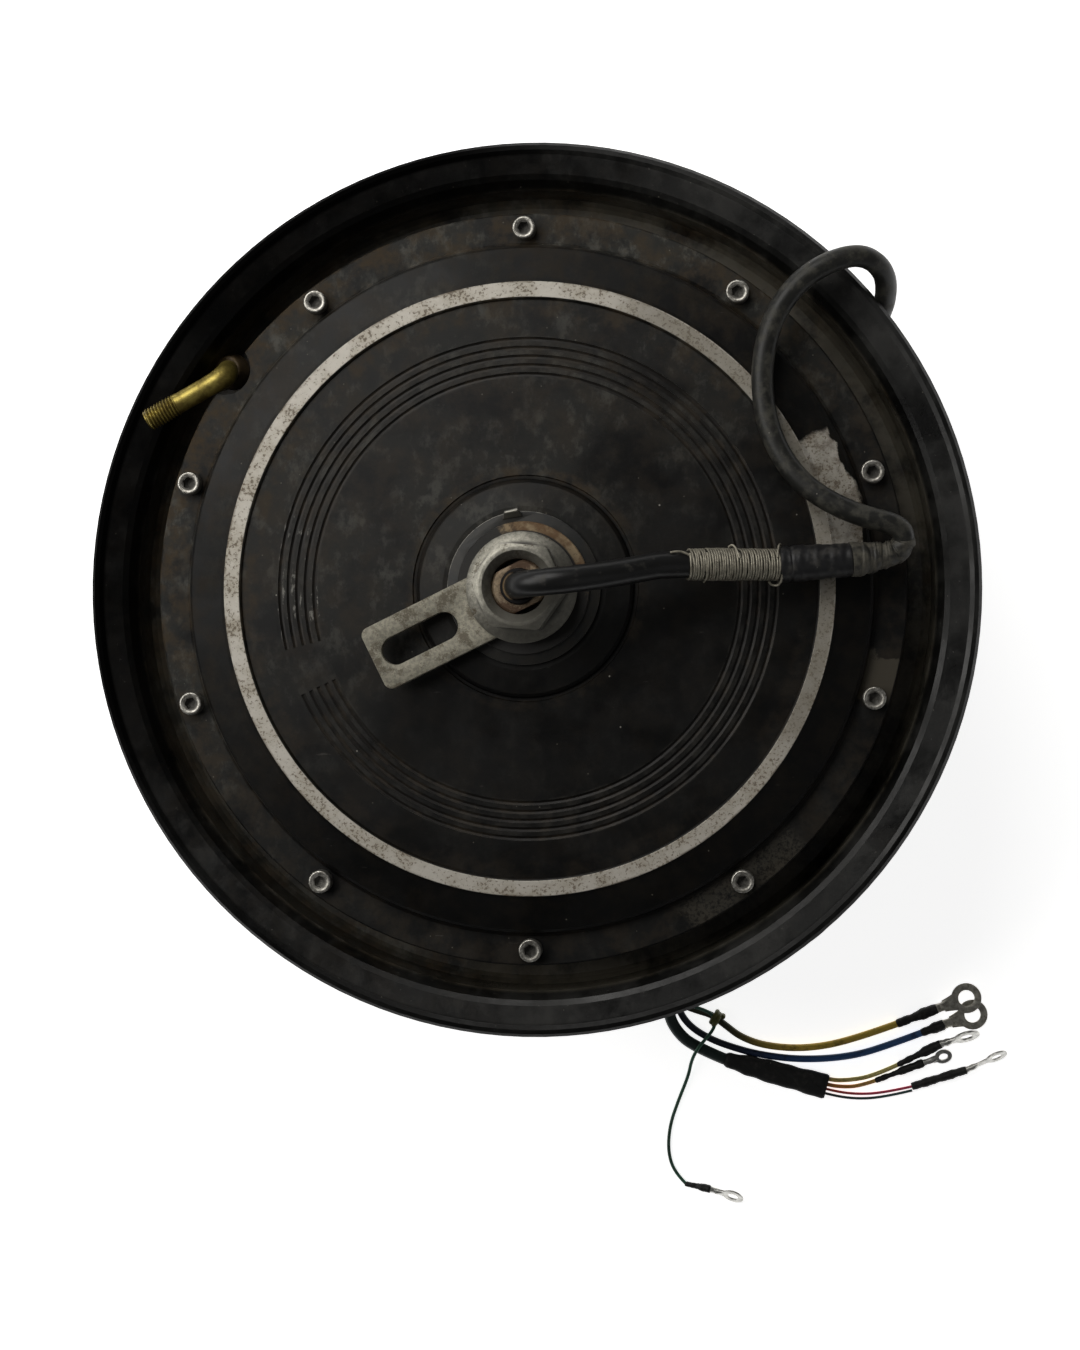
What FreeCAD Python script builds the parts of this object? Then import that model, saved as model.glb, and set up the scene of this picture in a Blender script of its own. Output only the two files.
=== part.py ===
import FreeCAD, Part
import math
import os

# Hub motor wheel: a 12 inch tubeless rim cast in one piece with the drum of a brushless hub motor.
# The wheel lies flat. Z is the axle's axis and points to the cable side. The origin is on that
# axis, on the surface that the closed cover's boss rests on. All sizes are in millimetres.

V = FreeCAD.Vector
UP = V(0, 0, 1)

# ---- driving dimensions: wheel and drum ----
MID_Z = 62.0                 # middle plane of the rim and of the stator
LIP_R = 166.0                # outside of the rim flanges
LIP_HALF = 45.0              # middle plane to the outer face of a lip
BEAD_R = 152.0               # 12 inch bead seat, 304 mm across
WELL_R = 138.0               # bottom of the drop centre
DRUM_R = 139.0               # outside of the drum, and of both covers
DRUM_BORE_R = 126.0          # bore that takes the magnet ring and the cover spigots
DRUM_HALF = 43.0             # middle plane to a cover's seat
VALLEY_HALF = 22.0           # middle plane to the floor between drum and rim wall
GASKET_T = 0.5
FLANGE_T = 4.0               # cover flange
SPIGOT_DEPTH = 4.5

# ---- driving dimensions: the cable-side cover's dished disc ----
DISC_OUTER = (106.2, 115.7)          # (r, z) of its outer and inner edges
DISC_INNER = (41.6, 119.8)
GROOVE_COUNT = 5
GROOVE_FIRST_R = 78.6
GROOVE_PITCH = 3.25
GROOVE_W = 1.7
GROOVE_D = 0.7
PLAIN_STRIP_DEG = (194.0, 205.0)     # the grooves stop short of this plain strip

# ---- driving dimensions: cover screws ----
SCREW_COUNT = 10
SCREW_PCD_R = 133.0
SCREW_FIRST_DEG = 90.5
SCREW_R = 2.5                # M5
SCREW_HEAD_R = 4.25
SCREW_HEAD_H = 5.0
SCREW_LENGTH = 16.0
HEX_KEY = 4.0

# ---- driving dimensions: electrical machine ----
STACK_HALF = 25.0            # half the height of the lamination stack
MAGNET_COUNT = 32
MAGNET_T = 3.75
MAGNET_BACK_R = 119.0
STATOR_R = 114.5             # 0.75 mm air gap
SLOT_COUNT = 36
SLOT_BASE_R = 92.0
TOOTH_HALF = 4.5
TOOTH_TIP_R = 111.0
CORE_BORE_R = 82.0
INSULATOR_T = 1.5
COIL_R0 = 93.5
COIL_R1 = 109.5

# ---- driving dimensions: axle line ----
AXLE_R = 16.0                # seat of the stator carrier
UPPER_SEAT_R = 12.5          # 25 x 52 x 15 bearing on the cable side
UPPER_BEARING = (12.5, 26.0, 101.0, 116.0)
LOWER_SEAT_R = 10.0          # 20 x 47 x 14 bearing in the closed cover
LOWER_BEARING = (10.0, 23.5, 5.5, 19.5)
THREAD_R = 10.0              # M20
FLAT_HALF = 8.0              # two flats, 16 mm across
FLATS_Z = 124.0
AXLE_TOP = 142.0
CABLE_BORE_R = 6.2
CABLE_BORE_Z = 88.0
RUNNING_GAP = 0.3

# ---- driving dimensions: what is clamped on the axle ----
BOSS_R = 40.0
BOSS_TOP = 123.0
TAB_WASHER_R = 28.0
TAB_WASHER_Z = (123.5, 124.7)
SPACER_R = 16.0
SPACER_FLANGE_R = 24.2
SPACER_TOP = 126.2
ARM_T = 4.5
ARM_WIDTH = 24.2
ARM_END = 60.5               # axle to the arm's far edge
ARM_SLOT = (30.0, 10.4)      # length and width
ARM_SLOT_CENTRE = 41.5
ARM_DEG = 206.2
NUT_FLANGE_R = 20.2
NUT_FLANGE_T = 3.0
NUT_AF = 30.0
NUT_TOP = 145.0
NUT_CORNER_DEG = 175.0
NUT_SINK_R = 12.6

# ---- driving dimensions: valve ----
VALVE_DEG = 144.0
VALVE_R = 144.8
GROMMET_R = 7.0
NOTCH_R = 9.7
NOTCH_CENTRE_R = 141.0
NOTCH_LIMIT_R = 144.0
VALVE_STEM_R = 3.6
VALVE_THREAD_R = 4.0
VALVE_ELBOW = V(-113.2, 80.6, 109.0)
VALVE_TIP = V(-143.4, 63.6, 110.6)
VALVE_THREAD_LENGTH = 13.0
PIN_R = 0.9
PIN_BORE_R = 1.9

# ---- driving dimensions: cables ----
CABLE_R = 4.8                # motor cable
CABLE_EXIT_Z = 143.5         # top of the bush in the axle's mouth
EXTENSION_R = 4.0            # extension cable
PHASE_R = 1.45
BUNDLE_R = 2.4
PALE_R = 0.9
ORANGE_R = 0.8
THIN_R = 0.55
GROUND_R = 0.7

volumes = {}


# ---- general helpers ----

def save(node, shape):
    """Write one sub-part, after checking that each of its solids is closed."""
    for solid in shape.Solids:
        if not solid.isValid() or solid.Volume <= 0:
            print("PROBLEM:", node, "has a bad solid")
    volumes[node] = shape.Volume
    shape.exportStep("parts/" + node + ".step")


def polar(r, deg, z=0.0):
    a = math.radians(deg)
    return V(r * math.cos(a), r * math.sin(a), z)


def revolve(outline, start_deg=0.0, sweep_deg=360.0):
    """Solid of revolution about Z of an (r, z) outline."""
    points = [V(r, 0, z) for r, z in outline]
    face = Part.Face(Part.makePolygon(points + points[:1]))
    face.rotate(V(0, 0, 0), UP, start_deg)
    return face.revolve(V(0, 0, 0), UP, sweep_deg)


def ring(r_out, r_in, z0, z1):
    return revolve([(r_in, z0), (r_out, z0), (r_out, z1), (r_in, z1)])


def disc(r, z0, z1, centre=V(0, 0, 0)):
    return Part.makeCylinder(r, z1 - z0, V(centre.x, centre.y, z0))


def turned(shape, deg):
    copy = shape.copy()
    copy.rotate(V(0, 0, 0), UP, deg)
    return copy


def around(shape, count, first_deg=0.0):
    """Copies of a shape evenly round the axle, as separate solids."""
    return Part.makeCompound([turned(shape, first_deg + 360.0 * k / count) for k in range(count)])


def prism(points, z0, z1):
    """Upright prism on an (x, y) outline."""
    base = [V(x, y, z0) for x, y in points]
    return Part.Face(Part.makePolygon(base + base[:1])).extrude(V(0, 0, z1 - z0))


def spindle(start, end, profile):
    """Turned solid along the line from start to end; profile is (distance along, radius)."""
    axis = (end - start).normalize()
    points = [V(r, 0, s) for s, r in profile]
    closed = [V(0, 0, profile[0][0])] + points + [V(0, 0, profile[-1][0])]
    body = Part.Face(Part.makePolygon(closed + closed[:1])).revolve(V(0, 0, 0), UP, 360)
    body.Placement = FreeCAD.Placement(start, FreeCAD.Rotation(UP, axis))
    return body


def sleeve(start, end, profile, bore_r):
    """A spindle with a straight bore."""
    reach = (end - start).normalize() * 5
    length = (end - start).Length
    bore = Part.makeCylinder(bore_r, length + 10, start - reach, end - start)
    return spindle(start, end, profile).cut(bore)


def between(a, b, share):
    return a + (b - a) * share


# ---- cords: straight runs joined by tangent arcs ----

def cord_path(route):
    """Wire of straight runs and tangent arcs, and the list of the arc radii."""
    edges = []
    radii = []
    last = route[0]
    for before, corner, after in zip(route, route[1:], route[2:]):
        way_in = (corner - before).normalize()
        way_out = (after - corner).normalize()
        half_turn = way_in.getAngle(way_out) / 2
        reach = 0.45 * min((corner - before).Length, (after - corner).Length)
        radius = reach / math.tan(half_turn)
        arc_start = corner - way_in * reach
        arc_end = corner + way_out * reach
        to_centre = (way_out - way_in).normalize()
        depth = radius / math.cos(half_turn) - radius
        edges.append(Part.LineSegment(last, arc_start).toShape())
        edges.append(Part.Arc(arc_start, corner + to_centre * depth, arc_end).toShape())
        radii.append(radius)
        last = arc_end
    edges.append(Part.LineSegment(last, route[-1]).toShape())
    return Part.Wire(edges), radii


def cord(node, points, radius):
    """Tube along a route, with its radii and its volume printed for checking."""
    route = [V(*p) for p in points]
    path, radii = cord_path(route)
    section = Part.Wire(Part.Circle(route[0], route[1] - route[0], radius).toShape())
    tube = path.makePipeShell([section], True, True)
    expected = math.pi * radius ** 2 * path.Length
    lowest = tube.optimalBoundingBox(False).ZMin
    share = tube.Volume / expected
    print(f"{node}: length {path.Length:.0f}, volume ratio {share:.3f}, lowest {lowest:.2f}")
    print("   arc radii in diameters:", " ".join(f"{r / (2 * radius):.1f}" for r in radii))
    save(node, tube)
    return tube


# ---- rim and drum ----

def half_rim_outline():
    """Section of the upper half, as (r, height above the middle plane)."""
    return [
        (WELL_R, 0), (WELL_R, 8), (140.0, 11.5), (149.0, 18.5), (150.9, 21),
        (151.0, 23), (BEAD_R, 37), (153.0, 38.6), (155.0, 39.4), (161.5, 39.8),
        (164.6, 40.6), (LIP_R, 42.3), (LIP_R, 43.6), (164.8, LIP_HALF), (163.2, LIP_HALF),
        (161.6, 44.2), (154.6, 42.9), (152.6, 41.6), (149.6, 37.0), (148.6, 25.0),
        (147.0, 23.0), (145.6, VALLEY_HALF), (140.6, VALLEY_HALF), (DRUM_R, 23.4), (DRUM_R, DRUM_HALF),
        (DRUM_BORE_R, DRUM_HALF), (DRUM_BORE_R, 0),
    ]


def valve_notch(z0, z1):
    """Clearance round the valve, cut into the drum and cover but not into the rim wall."""
    pocket = disc(NOTCH_R, z0, z1, polar(NOTCH_CENTRE_R, VALVE_DEG))
    return pocket.common(disc(NOTCH_LIMIT_R, z0, z1))


def screw_holes(z0, z1, radius=SCREW_R):
    hole = disc(radius, z0, z1, polar(SCREW_PCD_R, 0))
    return around(hole, SCREW_COUNT, SCREW_FIRST_DEG)


def make_rim():
    upper = [(r, MID_Z + h) for r, h in half_rim_outline()]
    lower = [(r, MID_Z - h) for r, h in reversed(half_rim_outline())]
    body = revolve(upper[1:-1] + lower[1:-1])
    top = MID_Z + DRUM_HALF
    bottom = MID_Z - DRUM_HALF
    depth = SCREW_LENGTH - FLANGE_T - GASKET_T + 2.5
    body = body.cut(screw_holes(top - depth, top + 1))
    body = body.cut(screw_holes(bottom - 1, bottom + depth))
    body = body.cut(valve_notch(MID_Z + VALLEY_HALF, top + 1))
    hole_top = MID_Z + VALLEY_HALF + 7
    valve_hole = disc(VALVE_STEM_R + 2.0, MID_Z + 9, hole_top, polar(VALVE_R, VALVE_DEG))
    return body.cut(valve_hole)


# ---- covers ----

def make_gasket(z0, with_notch):
    flat = ring(DRUM_R, DRUM_BORE_R, z0, z0 + GASKET_T)
    flat = flat.cut(screw_holes(z0 - 1, z0 + 2))
    if with_notch:
        flat = flat.cut(valve_notch(z0 - 1, z0 + 2))
    return flat


def disc_z(r):
    """Height of the cable-side cover's dished face."""
    share = (r - DISC_INNER[0]) / (DISC_OUTER[0] - DISC_INNER[0])
    return DISC_INNER[1] + share * (DISC_OUTER[1] - DISC_INNER[1])


def cover_grooves():
    """Concentric turned grooves, open for the plain strip."""
    sweep = 360.0 - (PLAIN_STRIP_DEG[1] - PLAIN_STRIP_DEG[0])
    cuts = []
    for k in range(GROOVE_COUNT):
        r = GROOVE_FIRST_R + k * GROOVE_PITCH
        z = disc_z(r)
        inner = r - GROOVE_W / 2
        outer = r + GROOVE_W / 2
        section = [(inner, z + 1), (inner, z - GROOVE_D * 0.6), (r, z - GROOVE_D),
                   (outer, z - GROOVE_D * 0.6), (outer, z + 1)]
        cuts.append(revolve(section, PLAIN_STRIP_DEG[1], sweep))
    return Part.makeCompound(cuts)


def make_upper_cover():
    """Cable-side cover: flange, sloped shoulder, bare ring, dished disc, boss and bearing seat."""
    seat = MID_Z + DRUM_HALF + GASKET_T
    top = seat + FLANGE_T
    spigot = DRUM_BORE_R
    bore = UPPER_BEARING[1]
    outline = [
        (DRUM_R, seat), (DRUM_R, top - 0.6), (DRUM_R - 0.6, top), (128.2, top),
        (127.3, top + 0.6), (126.4, 113.2), (125.4, 114.1), (114.0, 116.4), (112.6, 117.0),
        (107.2, 117.0), (106.6, 116.6), DISC_OUTER, DISC_INNER, (41.2, 119.2), (40.2, 119.2),
        (BOSS_R - 0.4, 120.6), (38.6, 121.6), (30.0, BOSS_TOP), (27.6, BOSS_TOP), (bore, 121.6),
        (bore, 117.5), (bore - 3, 117.5), (bore - 3, UPPER_BEARING[3]), (bore, UPPER_BEARING[3]),
        (bore, 100.0), (33.0, 100.0), (35.0, 102.0), (37.5, 112.0), (44.0, 113.6), (104.0, 109.8),
        (116.0, 108.6), (119.5, 106.5), (121.0, seat - SPIGOT_DEPTH), (spigot, seat - SPIGOT_DEPTH),
        (spigot, seat),
    ]
    body = revolve(outline)
    body = body.cut(cover_grooves())
    body = body.cut(screw_holes(seat - 1, top + 1))
    return body.cut(valve_notch(seat - 1, top + 1))


def make_lower_cover():
    """Closed cover: its boss is the flat face that the wheel rests on."""
    seat = MID_Z - DRUM_HALF - GASKET_T
    bottom = seat - FLANGE_T
    bore = LOWER_BEARING[1]
    outline = [
        (0, 0), (BOSS_R - 1, 0), (BOSS_R, 1.0), (BOSS_R + 0.6, 4.0), (42.0, 4.6), (106.2, 8.6),
        (106.8, 7.4), (107.4, 7.0), (112.6, 7.0), (114.0, 7.6), (125.4, 9.9), (126.4, 10.8),
        (127.3, bottom - 0.6), (128.2, bottom), (DRUM_R - 0.6, bottom), (DRUM_R, bottom + 0.6),
        (DRUM_R, seat), (DRUM_BORE_R, seat), (DRUM_BORE_R, seat + SPIGOT_DEPTH),
        (121.0, seat + SPIGOT_DEPTH), (119.5, 17.5), (116.0, 15.4), (104.0, 14.2), (40.0, 10.4),
        (35.0, 12.0), (33.0, 20.5), (bore, 20.5), (bore, LOWER_BEARING[2]), (0, LOWER_BEARING[2] - 0.5),
    ]
    body = revolve(outline)
    return body.cut(screw_holes(bottom - 1, seat + 1))


def cap_screw():
    """Socket head cap screw standing on z = 0, head up, on the screw circle at 0 degrees."""
    x = SCREW_PCD_R
    head = Part.makeCylinder(SCREW_HEAD_R, SCREW_HEAD_H, V(x, 0, 0))
    head = head.makeChamfer(0.4, [e for e in head.Edges if e.BoundBox.ZMin > SCREW_HEAD_H - 0.01])
    shank = Part.makeCylinder(SCREW_R, SCREW_LENGTH, V(x, 0, -SCREW_LENGTH))
    corner = HEX_KEY / 2 / math.cos(math.radians(30))
    key = [(x + corner * math.cos(math.radians(a)), corner * math.sin(math.radians(a)))
           for a in range(0, 360, 60)]
    return head.fuse(shank).removeSplitter().cut(prism(key, SCREW_HEAD_H - 2.6, SCREW_HEAD_H + 1))


def make_cover_screws():
    upper = cap_screw()
    upper.translate(V(0, 0, MID_Z + DRUM_HALF + GASKET_T + FLANGE_T))
    save("upper_cover_screws", around(upper, SCREW_COUNT, SCREW_FIRST_DEG))
    lower = cap_screw()
    lower.rotate(V(0, 0, 0), V(1, 0, 0), 180)
    lower.translate(V(0, 0, MID_Z - DRUM_HALF - GASKET_T - FLANGE_T))
    save("lower_cover_screws", around(lower, SCREW_COUNT, SCREW_FIRST_DEG))


# ---- magnets and stator ----

def make_magnets():
    sweep = 0.87 * 360.0 / MAGNET_COUNT
    r_in = MAGNET_BACK_R - MAGNET_T
    section = [(r_in, MID_Z - STACK_HALF), (MAGNET_BACK_R, MID_Z - STACK_HALF),
               (MAGNET_BACK_R, MID_Z + STACK_HALF), (r_in, MID_Z + STACK_HALF)]
    return around(revolve(section, -sweep / 2, sweep), MAGNET_COUNT)


def toothed_ring(r_in, r_out, z0, z1, slot_spread=0.0):
    """Ring with the stator's slots cut in from outside; slot_spread widens them for an insulator."""
    half_pitch = math.pi / SLOT_COUNT
    base = SLOT_BASE_R * math.tan(half_pitch) - TOOTH_HALF + slot_spread
    tip = TOOTH_TIP_R * math.tan(half_pitch) - TOOTH_HALF + slot_spread
    slot = [(SLOT_BASE_R, -base), (TOOTH_TIP_R, -tip), (TOOTH_TIP_R + 1.2, -1.5), (STATOR_R + 2, -1.5),
            (STATOR_R + 2, 1.5), (TOOTH_TIP_R + 1.2, 1.5), (TOOTH_TIP_R, tip), (SLOT_BASE_R, base)]
    slots = around(prism(slot, z0 - 1, z1 + 1), SLOT_COUNT, 180.0 / SLOT_COUNT)
    return ring(r_out, r_in, z0, z1).cut(slots)


def rounded_block(half_w, half_h, corner):
    """Block with its long direction along X, rounded in the Y-Z plane, about the middle plane."""
    length = COIL_R1 - COIL_R0
    block = Part.makeBox(length, 2 * half_w, 2 * half_h, V(COIL_R0, -half_w, MID_Z - half_h))
    return block.makeFillet(corner, [e for e in block.Edges if e.BoundBox.XLength > length / 2])


def make_coil():
    """One coil round the tooth at 0 degrees, as the solid outline of its turns."""
    inner_h = STACK_HALF + INSULATOR_T + 0.3
    outer = rounded_block(TOOTH_HALF + 3.0, inner_h + 5.0, 6.0)
    return outer.cut(rounded_block(TOOTH_HALF + 0.4, inner_h, 0.5))


def make_windings():
    coil = make_coil()
    for phase in range(3):
        first = phase * 360.0 / SLOT_COUNT
        save("phase_" + "abc"[phase] + "_coils", around(coil, SLOT_COUNT // 3, first))


def make_stator_carrier():
    """Aluminium spider that holds the laminations on the axle."""
    z0 = MID_Z - STACK_HALF
    z1 = MID_Z + STACK_HALF
    outline = [
        (AXLE_R, z0 + 4), (26.0, z0 + 4), (28.0, MID_Z - 5), (76.0, MID_Z - 5), (77.0, z0),
        (CORE_BORE_R, z0), (CORE_BORE_R, z1), (77.0, z1), (76.0, MID_Z + 5), (28.0, MID_Z + 5),
        (26.0, z1 - 3), (AXLE_R, z1 - 3),
    ]
    window = disc(13.0, z0, z1, polar(52.0, 0))
    return revolve(outline).cut(around(window, 6, 15.0))


def make_hall_board():
    """Small circuit board on the coil ends, with three position sensors at the tooth tips."""
    top_of_coils = MID_Z + STACK_HALF + INSULATOR_T + 0.3 + 5.0
    board_z = top_of_coils + 0.2
    section = [(97.0, board_z), (113.0, board_z), (113.0, board_z + 1.6), (97.0, board_z + 1.6)]
    save("hall_board", revolve(section, -25.0, 50.0))
    chip = Part.makeBox(1.5, 4.0, 5.0, V(111.2, -2.0, board_z - 5.0))
    spacing = 2.0 * 360.0 / SLOT_COUNT / 3.0
    chips = [turned(chip, k * spacing * 2) for k in (-1, 0, 1)]
    save("hall_sensors", Part.makeCompound(chips))
    return board_z


def make_inner_leads(board_z):
    """Leads from the winding to the slot in the axle."""
    lead_r = 1.4
    slot_z = 93.0
    leads = []
    for k in (-1, 0, 1):
        start = V(94.0, 4.0 * k, board_z + 1.7)
        end = V(12.5, 2.9 * k, slot_z)
        leads.append(Part.makeCylinder(lead_r, (end - start).Length, start, end - start))
    save("inner_phase_leads", Part.makeCompound(leads))
    start = V(96.9, 0, board_z + 4.9)
    end = V(12.5, 0, slot_z + 3.2)
    save("inner_sensor_lead", Part.makeCylinder(1.2, (end - start).Length, start, end - start))


# ---- axle, bearings and clamped parts ----

def make_axle():
    bottom = LOWER_BEARING[2]
    outline = [
        (0, bottom), (LOWER_SEAT_R - 0.6, bottom), (LOWER_SEAT_R, bottom + 0.6),
        (LOWER_SEAT_R, LOWER_BEARING[3]), (13.0, LOWER_BEARING[3]), (13.0, 26.0), (AXLE_R, 28.0),
        (AXLE_R, 98.0), (14.6, 98.0), (14.6, UPPER_BEARING[2]), (UPPER_SEAT_R, UPPER_BEARING[2]),
        (UPPER_SEAT_R, UPPER_BEARING[3]), (THREAD_R, UPPER_BEARING[3]), (THREAD_R, AXLE_TOP - 1.2),
        (THREAD_R - 1.2, AXLE_TOP), (0, AXLE_TOP),
    ]
    body = revolve(outline)
    body = body.cut(disc(CABLE_BORE_R, CABLE_BORE_Z, AXLE_TOP + 1))
    side_slot = Part.makeBox(AXLE_R + 2, 9.0, 9.5, V(0, -4.5, CABLE_BORE_Z))
    body = body.cut(side_slot)
    for side in (0, 180):
        flat = Part.makeBox(4.0, 30.0, AXLE_TOP - FLATS_Z + 1, V(FLAT_HALF, -15, FLATS_Z))
        body = body.cut(turned(flat, ARM_DEG + 90 + side))
    return body


def make_bearing(name, size, ball_count, ball_r):
    """Deep groove ball bearing: two rings, balls and a cage, each a node of its own."""
    r_in, r_out, z0, z1 = size
    pitch_r = (r_in + r_out) / 2
    mid = (z0 + z1) / 2
    track = Part.makeTorus(pitch_r, ball_r + RUNNING_GAP, V(0, 0, mid))
    land = 0.62 * ball_r
    save(name + "_bearing_inner_ring", ring(pitch_r - land, r_in, z0, z1).cut(track))
    save(name + "_bearing_outer_ring", ring(r_out, pitch_r + land, z0, z1).cut(track))
    ball = Part.makeSphere(ball_r, V(pitch_r, 0, mid))
    save(name + "_bearing_balls", around(ball, ball_count))
    pockets = around(Part.makeSphere(ball_r + 0.02, V(pitch_r, 0, mid)), ball_count)
    cage = ring(pitch_r + 1.0, pitch_r - 1.0, mid - ball_r * 0.7, mid + ball_r * 0.7)
    save(name + "_bearing_cage", cage.cut(pockets))


def make_spacer():
    """Sleeve that carries the clamping force to the bearing, with a wide head under the torque arm."""
    bottom = UPPER_BEARING[3]
    head = TAB_WASHER_Z[1]
    outline = [
        (THREAD_R, bottom), (15.2, bottom), (SPACER_R, bottom + 1), (SPACER_R, head),
        (SPACER_FLANGE_R - 0.5, head), (SPACER_FLANGE_R, head + 0.5),
        (SPACER_FLANGE_R, SPACER_TOP - 0.3), (SPACER_FLANGE_R - 0.3, SPACER_TOP),
        (THREAD_R, SPACER_TOP),
    ]
    return revolve(outline)


def make_tab_washer():
    """Thin washer with one tapered tab bent up and outwards near its edge."""
    washer = ring(TAB_WASHER_R, SPACER_R, *TAB_WASHER_Z)
    side = [V(-3.8, 0, 0), V(3.8, 0, 0), V(2.6, 0, 4.6), V(-2.3, 0, 4.3)]
    tab = Part.Face(Part.makePolygon(side + side[:1])).extrude(V(0, 1.2, 0))
    tab.rotate(V(0, 0, 0), V(1, 0, 0), -35)
    tab.translate(V(0, TAB_WASHER_R - 2.6, TAB_WASHER_Z[0] + 0.7))
    body = washer.fuse(tab).removeSplitter()
    return turned(body, 9.0)


def double_d(z0, z1, r, half):
    """Cutter for a hole that fits the axle's two flats."""
    plug = disc(r, z0, z1)
    keep = Part.makeBox(2 * half, 4 * r, z1 - z0, V(-half, -2 * r, z0))
    return turned(plug.common(keep), ARM_DEG + 90)


def make_torque_arm():
    """Flat steel bar, keyed to the axle's flats, with a slot for the anchoring bolt."""
    z0 = SPACER_TOP
    z1 = z0 + ARM_T
    half = ARM_WIDTH / 2
    bar = Part.makeBox(ARM_END, ARM_WIDTH, ARM_T, V(0, -half, z0))
    corners = [e for e in bar.Edges if e.BoundBox.XMin > ARM_END - 0.01 and e.BoundBox.ZLength > 1]
    bar = bar.makeFillet(3.0, corners)
    eye = disc(18.6, z0, z1)
    slot_half = ARM_SLOT[1] / 2
    straight = ARM_SLOT[0] / 2 - slot_half
    slot_start = V(ARM_SLOT_CENTRE - straight, -slot_half, z0 - 1)
    slot = Part.makeBox(2 * straight, 2 * slot_half, ARM_T + 2, slot_start)
    for side in (-1, 1):
        slot = slot.fuse(disc(slot_half, z0 - 1, z1 + 1, V(ARM_SLOT_CENTRE + side * straight, 0, 0)))
    body = turned(bar.fuse(eye).removeSplitter().cut(slot), ARM_DEG)
    return body.cut(double_d(z0 - 1, z1 + 1, THREAD_R, FLAT_HALF))


def make_nut():
    """Hexagon flange nut with a countersunk mouth."""
    z0 = SPACER_TOP + ARM_T
    corner = NUT_AF / 2 / math.cos(math.radians(30))
    corners = [polar(corner, NUT_CORNER_DEG + a) for a in range(0, 360, 60)]
    body = prism([(p.x, p.y) for p in corners], z0, NUT_TOP)
    crown = revolve([(0, z0 - 1), (corner + 1, z0 - 1), (corner + 1, NUT_TOP - 1.9),
                     (NUT_AF / 2 - 0.8, NUT_TOP), (0, NUT_TOP)])
    shoulder_z = z0 + NUT_FLANGE_T + 0.6
    flange = revolve([(0, z0), (NUT_FLANGE_R, z0), (NUT_FLANGE_R, z0 + 1.2),
                      (NUT_FLANGE_R - 0.8, z0 + 1.8), (16.0, shoulder_z), (0, shoulder_z)])
    body = body.common(crown).fuse(flange).removeSplitter()
    sink = revolve([(0, z0 - 1), (THREAD_R, z0 - 1), (THREAD_R, NUT_TOP - 2.8), (NUT_SINK_R, NUT_TOP),
                    (NUT_SINK_R, NUT_TOP + 1), (0, NUT_TOP + 1)])
    return body.cut(sink)


def make_shaft_seal():
    """Lip seal that turns with the cover, its lip close to the spacer."""
    r_out = UPPER_BEARING[1]
    outline = [
        (SPACER_R + RUNNING_GAP, 118.4), (SPACER_R + 1.6, 117.9), (r_out, 117.9), (r_out, 121.4),
        (24.4, 121.9), (SPACER_R + 2.2, 121.4), (SPACER_R + RUNNING_GAP, 119.6),
    ]
    return revolve(outline)


def make_cable_bush():
    """Rubber bush between the cable and the axle's bore, with a small collar on top."""
    outline = [
        (CABLE_R, 133.0), (CABLE_BORE_R, 133.0), (CABLE_BORE_R, AXLE_TOP), (6.6, AXLE_TOP),
        (6.4, CABLE_EXIT_Z), (CABLE_R, CABLE_EXIT_Z),
    ]
    return revolve(outline)


# ---- valve ----

def make_valve(rim):
    """Bent brass valve, its rubber grommet, and the sprung pin in its mouth."""
    foot = polar(VALVE_R, VALVE_DEG)
    floor_z = MID_Z + VALLEY_HALF
    start = V(foot.x, foot.y, floor_z - 13.0)
    knee = V(foot.x, foot.y, floor_z + 9)
    path, radii = cord_path([start, knee, VALVE_ELBOW, VALVE_TIP])
    section = Part.Wire(Part.Circle(start, UP, VALVE_STEM_R).toShape())
    stem = path.makePipeShell([section], True, True)
    way = (VALVE_TIP - VALVE_ELBOW).normalize()
    thread_start = VALVE_TIP - way * VALVE_THREAD_LENGTH
    threaded = spindle(thread_start, VALVE_TIP, [
        (0, VALVE_STEM_R), (0.6, VALVE_THREAD_R), (VALVE_THREAD_LENGTH - 0.6, VALVE_THREAD_R),
        (VALVE_THREAD_LENGTH, VALVE_THREAD_R - 0.6)])
    mouth_depth = 9.0
    mouth = Part.makeCylinder(PIN_BORE_R, mouth_depth + 1, VALVE_TIP - way * mouth_depth, way)
    stem = stem.fuse(threaded).removeSplitter().cut(mouth)
    save("valve_stem", stem)

    grommet = revolve([
        (0, floor_z - 13.0), (6.4, floor_z - 13.0), (7.0, floor_z - 12.0), (7.0, floor_z),
        (GROMMET_R, floor_z), (GROMMET_R, floor_z + 2), (GROMMET_R - 0.8, floor_z + 4.5),
        (VALVE_STEM_R + 1.4, floor_z + 9), (0, floor_z + 9)])
    grommet.translate(foot)
    save("valve_grommet", grommet.cut(rim).cut(stem))

    pin_end = VALVE_TIP - way * 0.2
    pin = spindle(pin_end - way * 6.0, pin_end, [
        (0, PIN_R), (4.8, PIN_R), (4.8, PIN_R + 0.5), (5.7, PIN_R + 0.5), (6.0, PIN_R + 0.3)])
    save("valve_pin", pin)
    print("valve pin axis", [round(c, 4) for c in (-way.x, -way.y, -way.z)], "elbow radii", radii)


# ---- cables ----

MOTOR_CABLE = [
    (0.0, 0.0, CABLE_EXIT_Z), (0.0, 0.0, 149.5), (4.2, 0.4, 155.0), (11.2, 1.0, 157.6),
    (19.5, 1.8, 156.6), (31.0, 3.4, 152.0), (43.0, 5.8, 145.4), (54.0, 8.0, 140.2), (92.4, 7.8, 129.0),
]

SLEEVE_END = (117.7, 9.6, 125.4)

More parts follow.
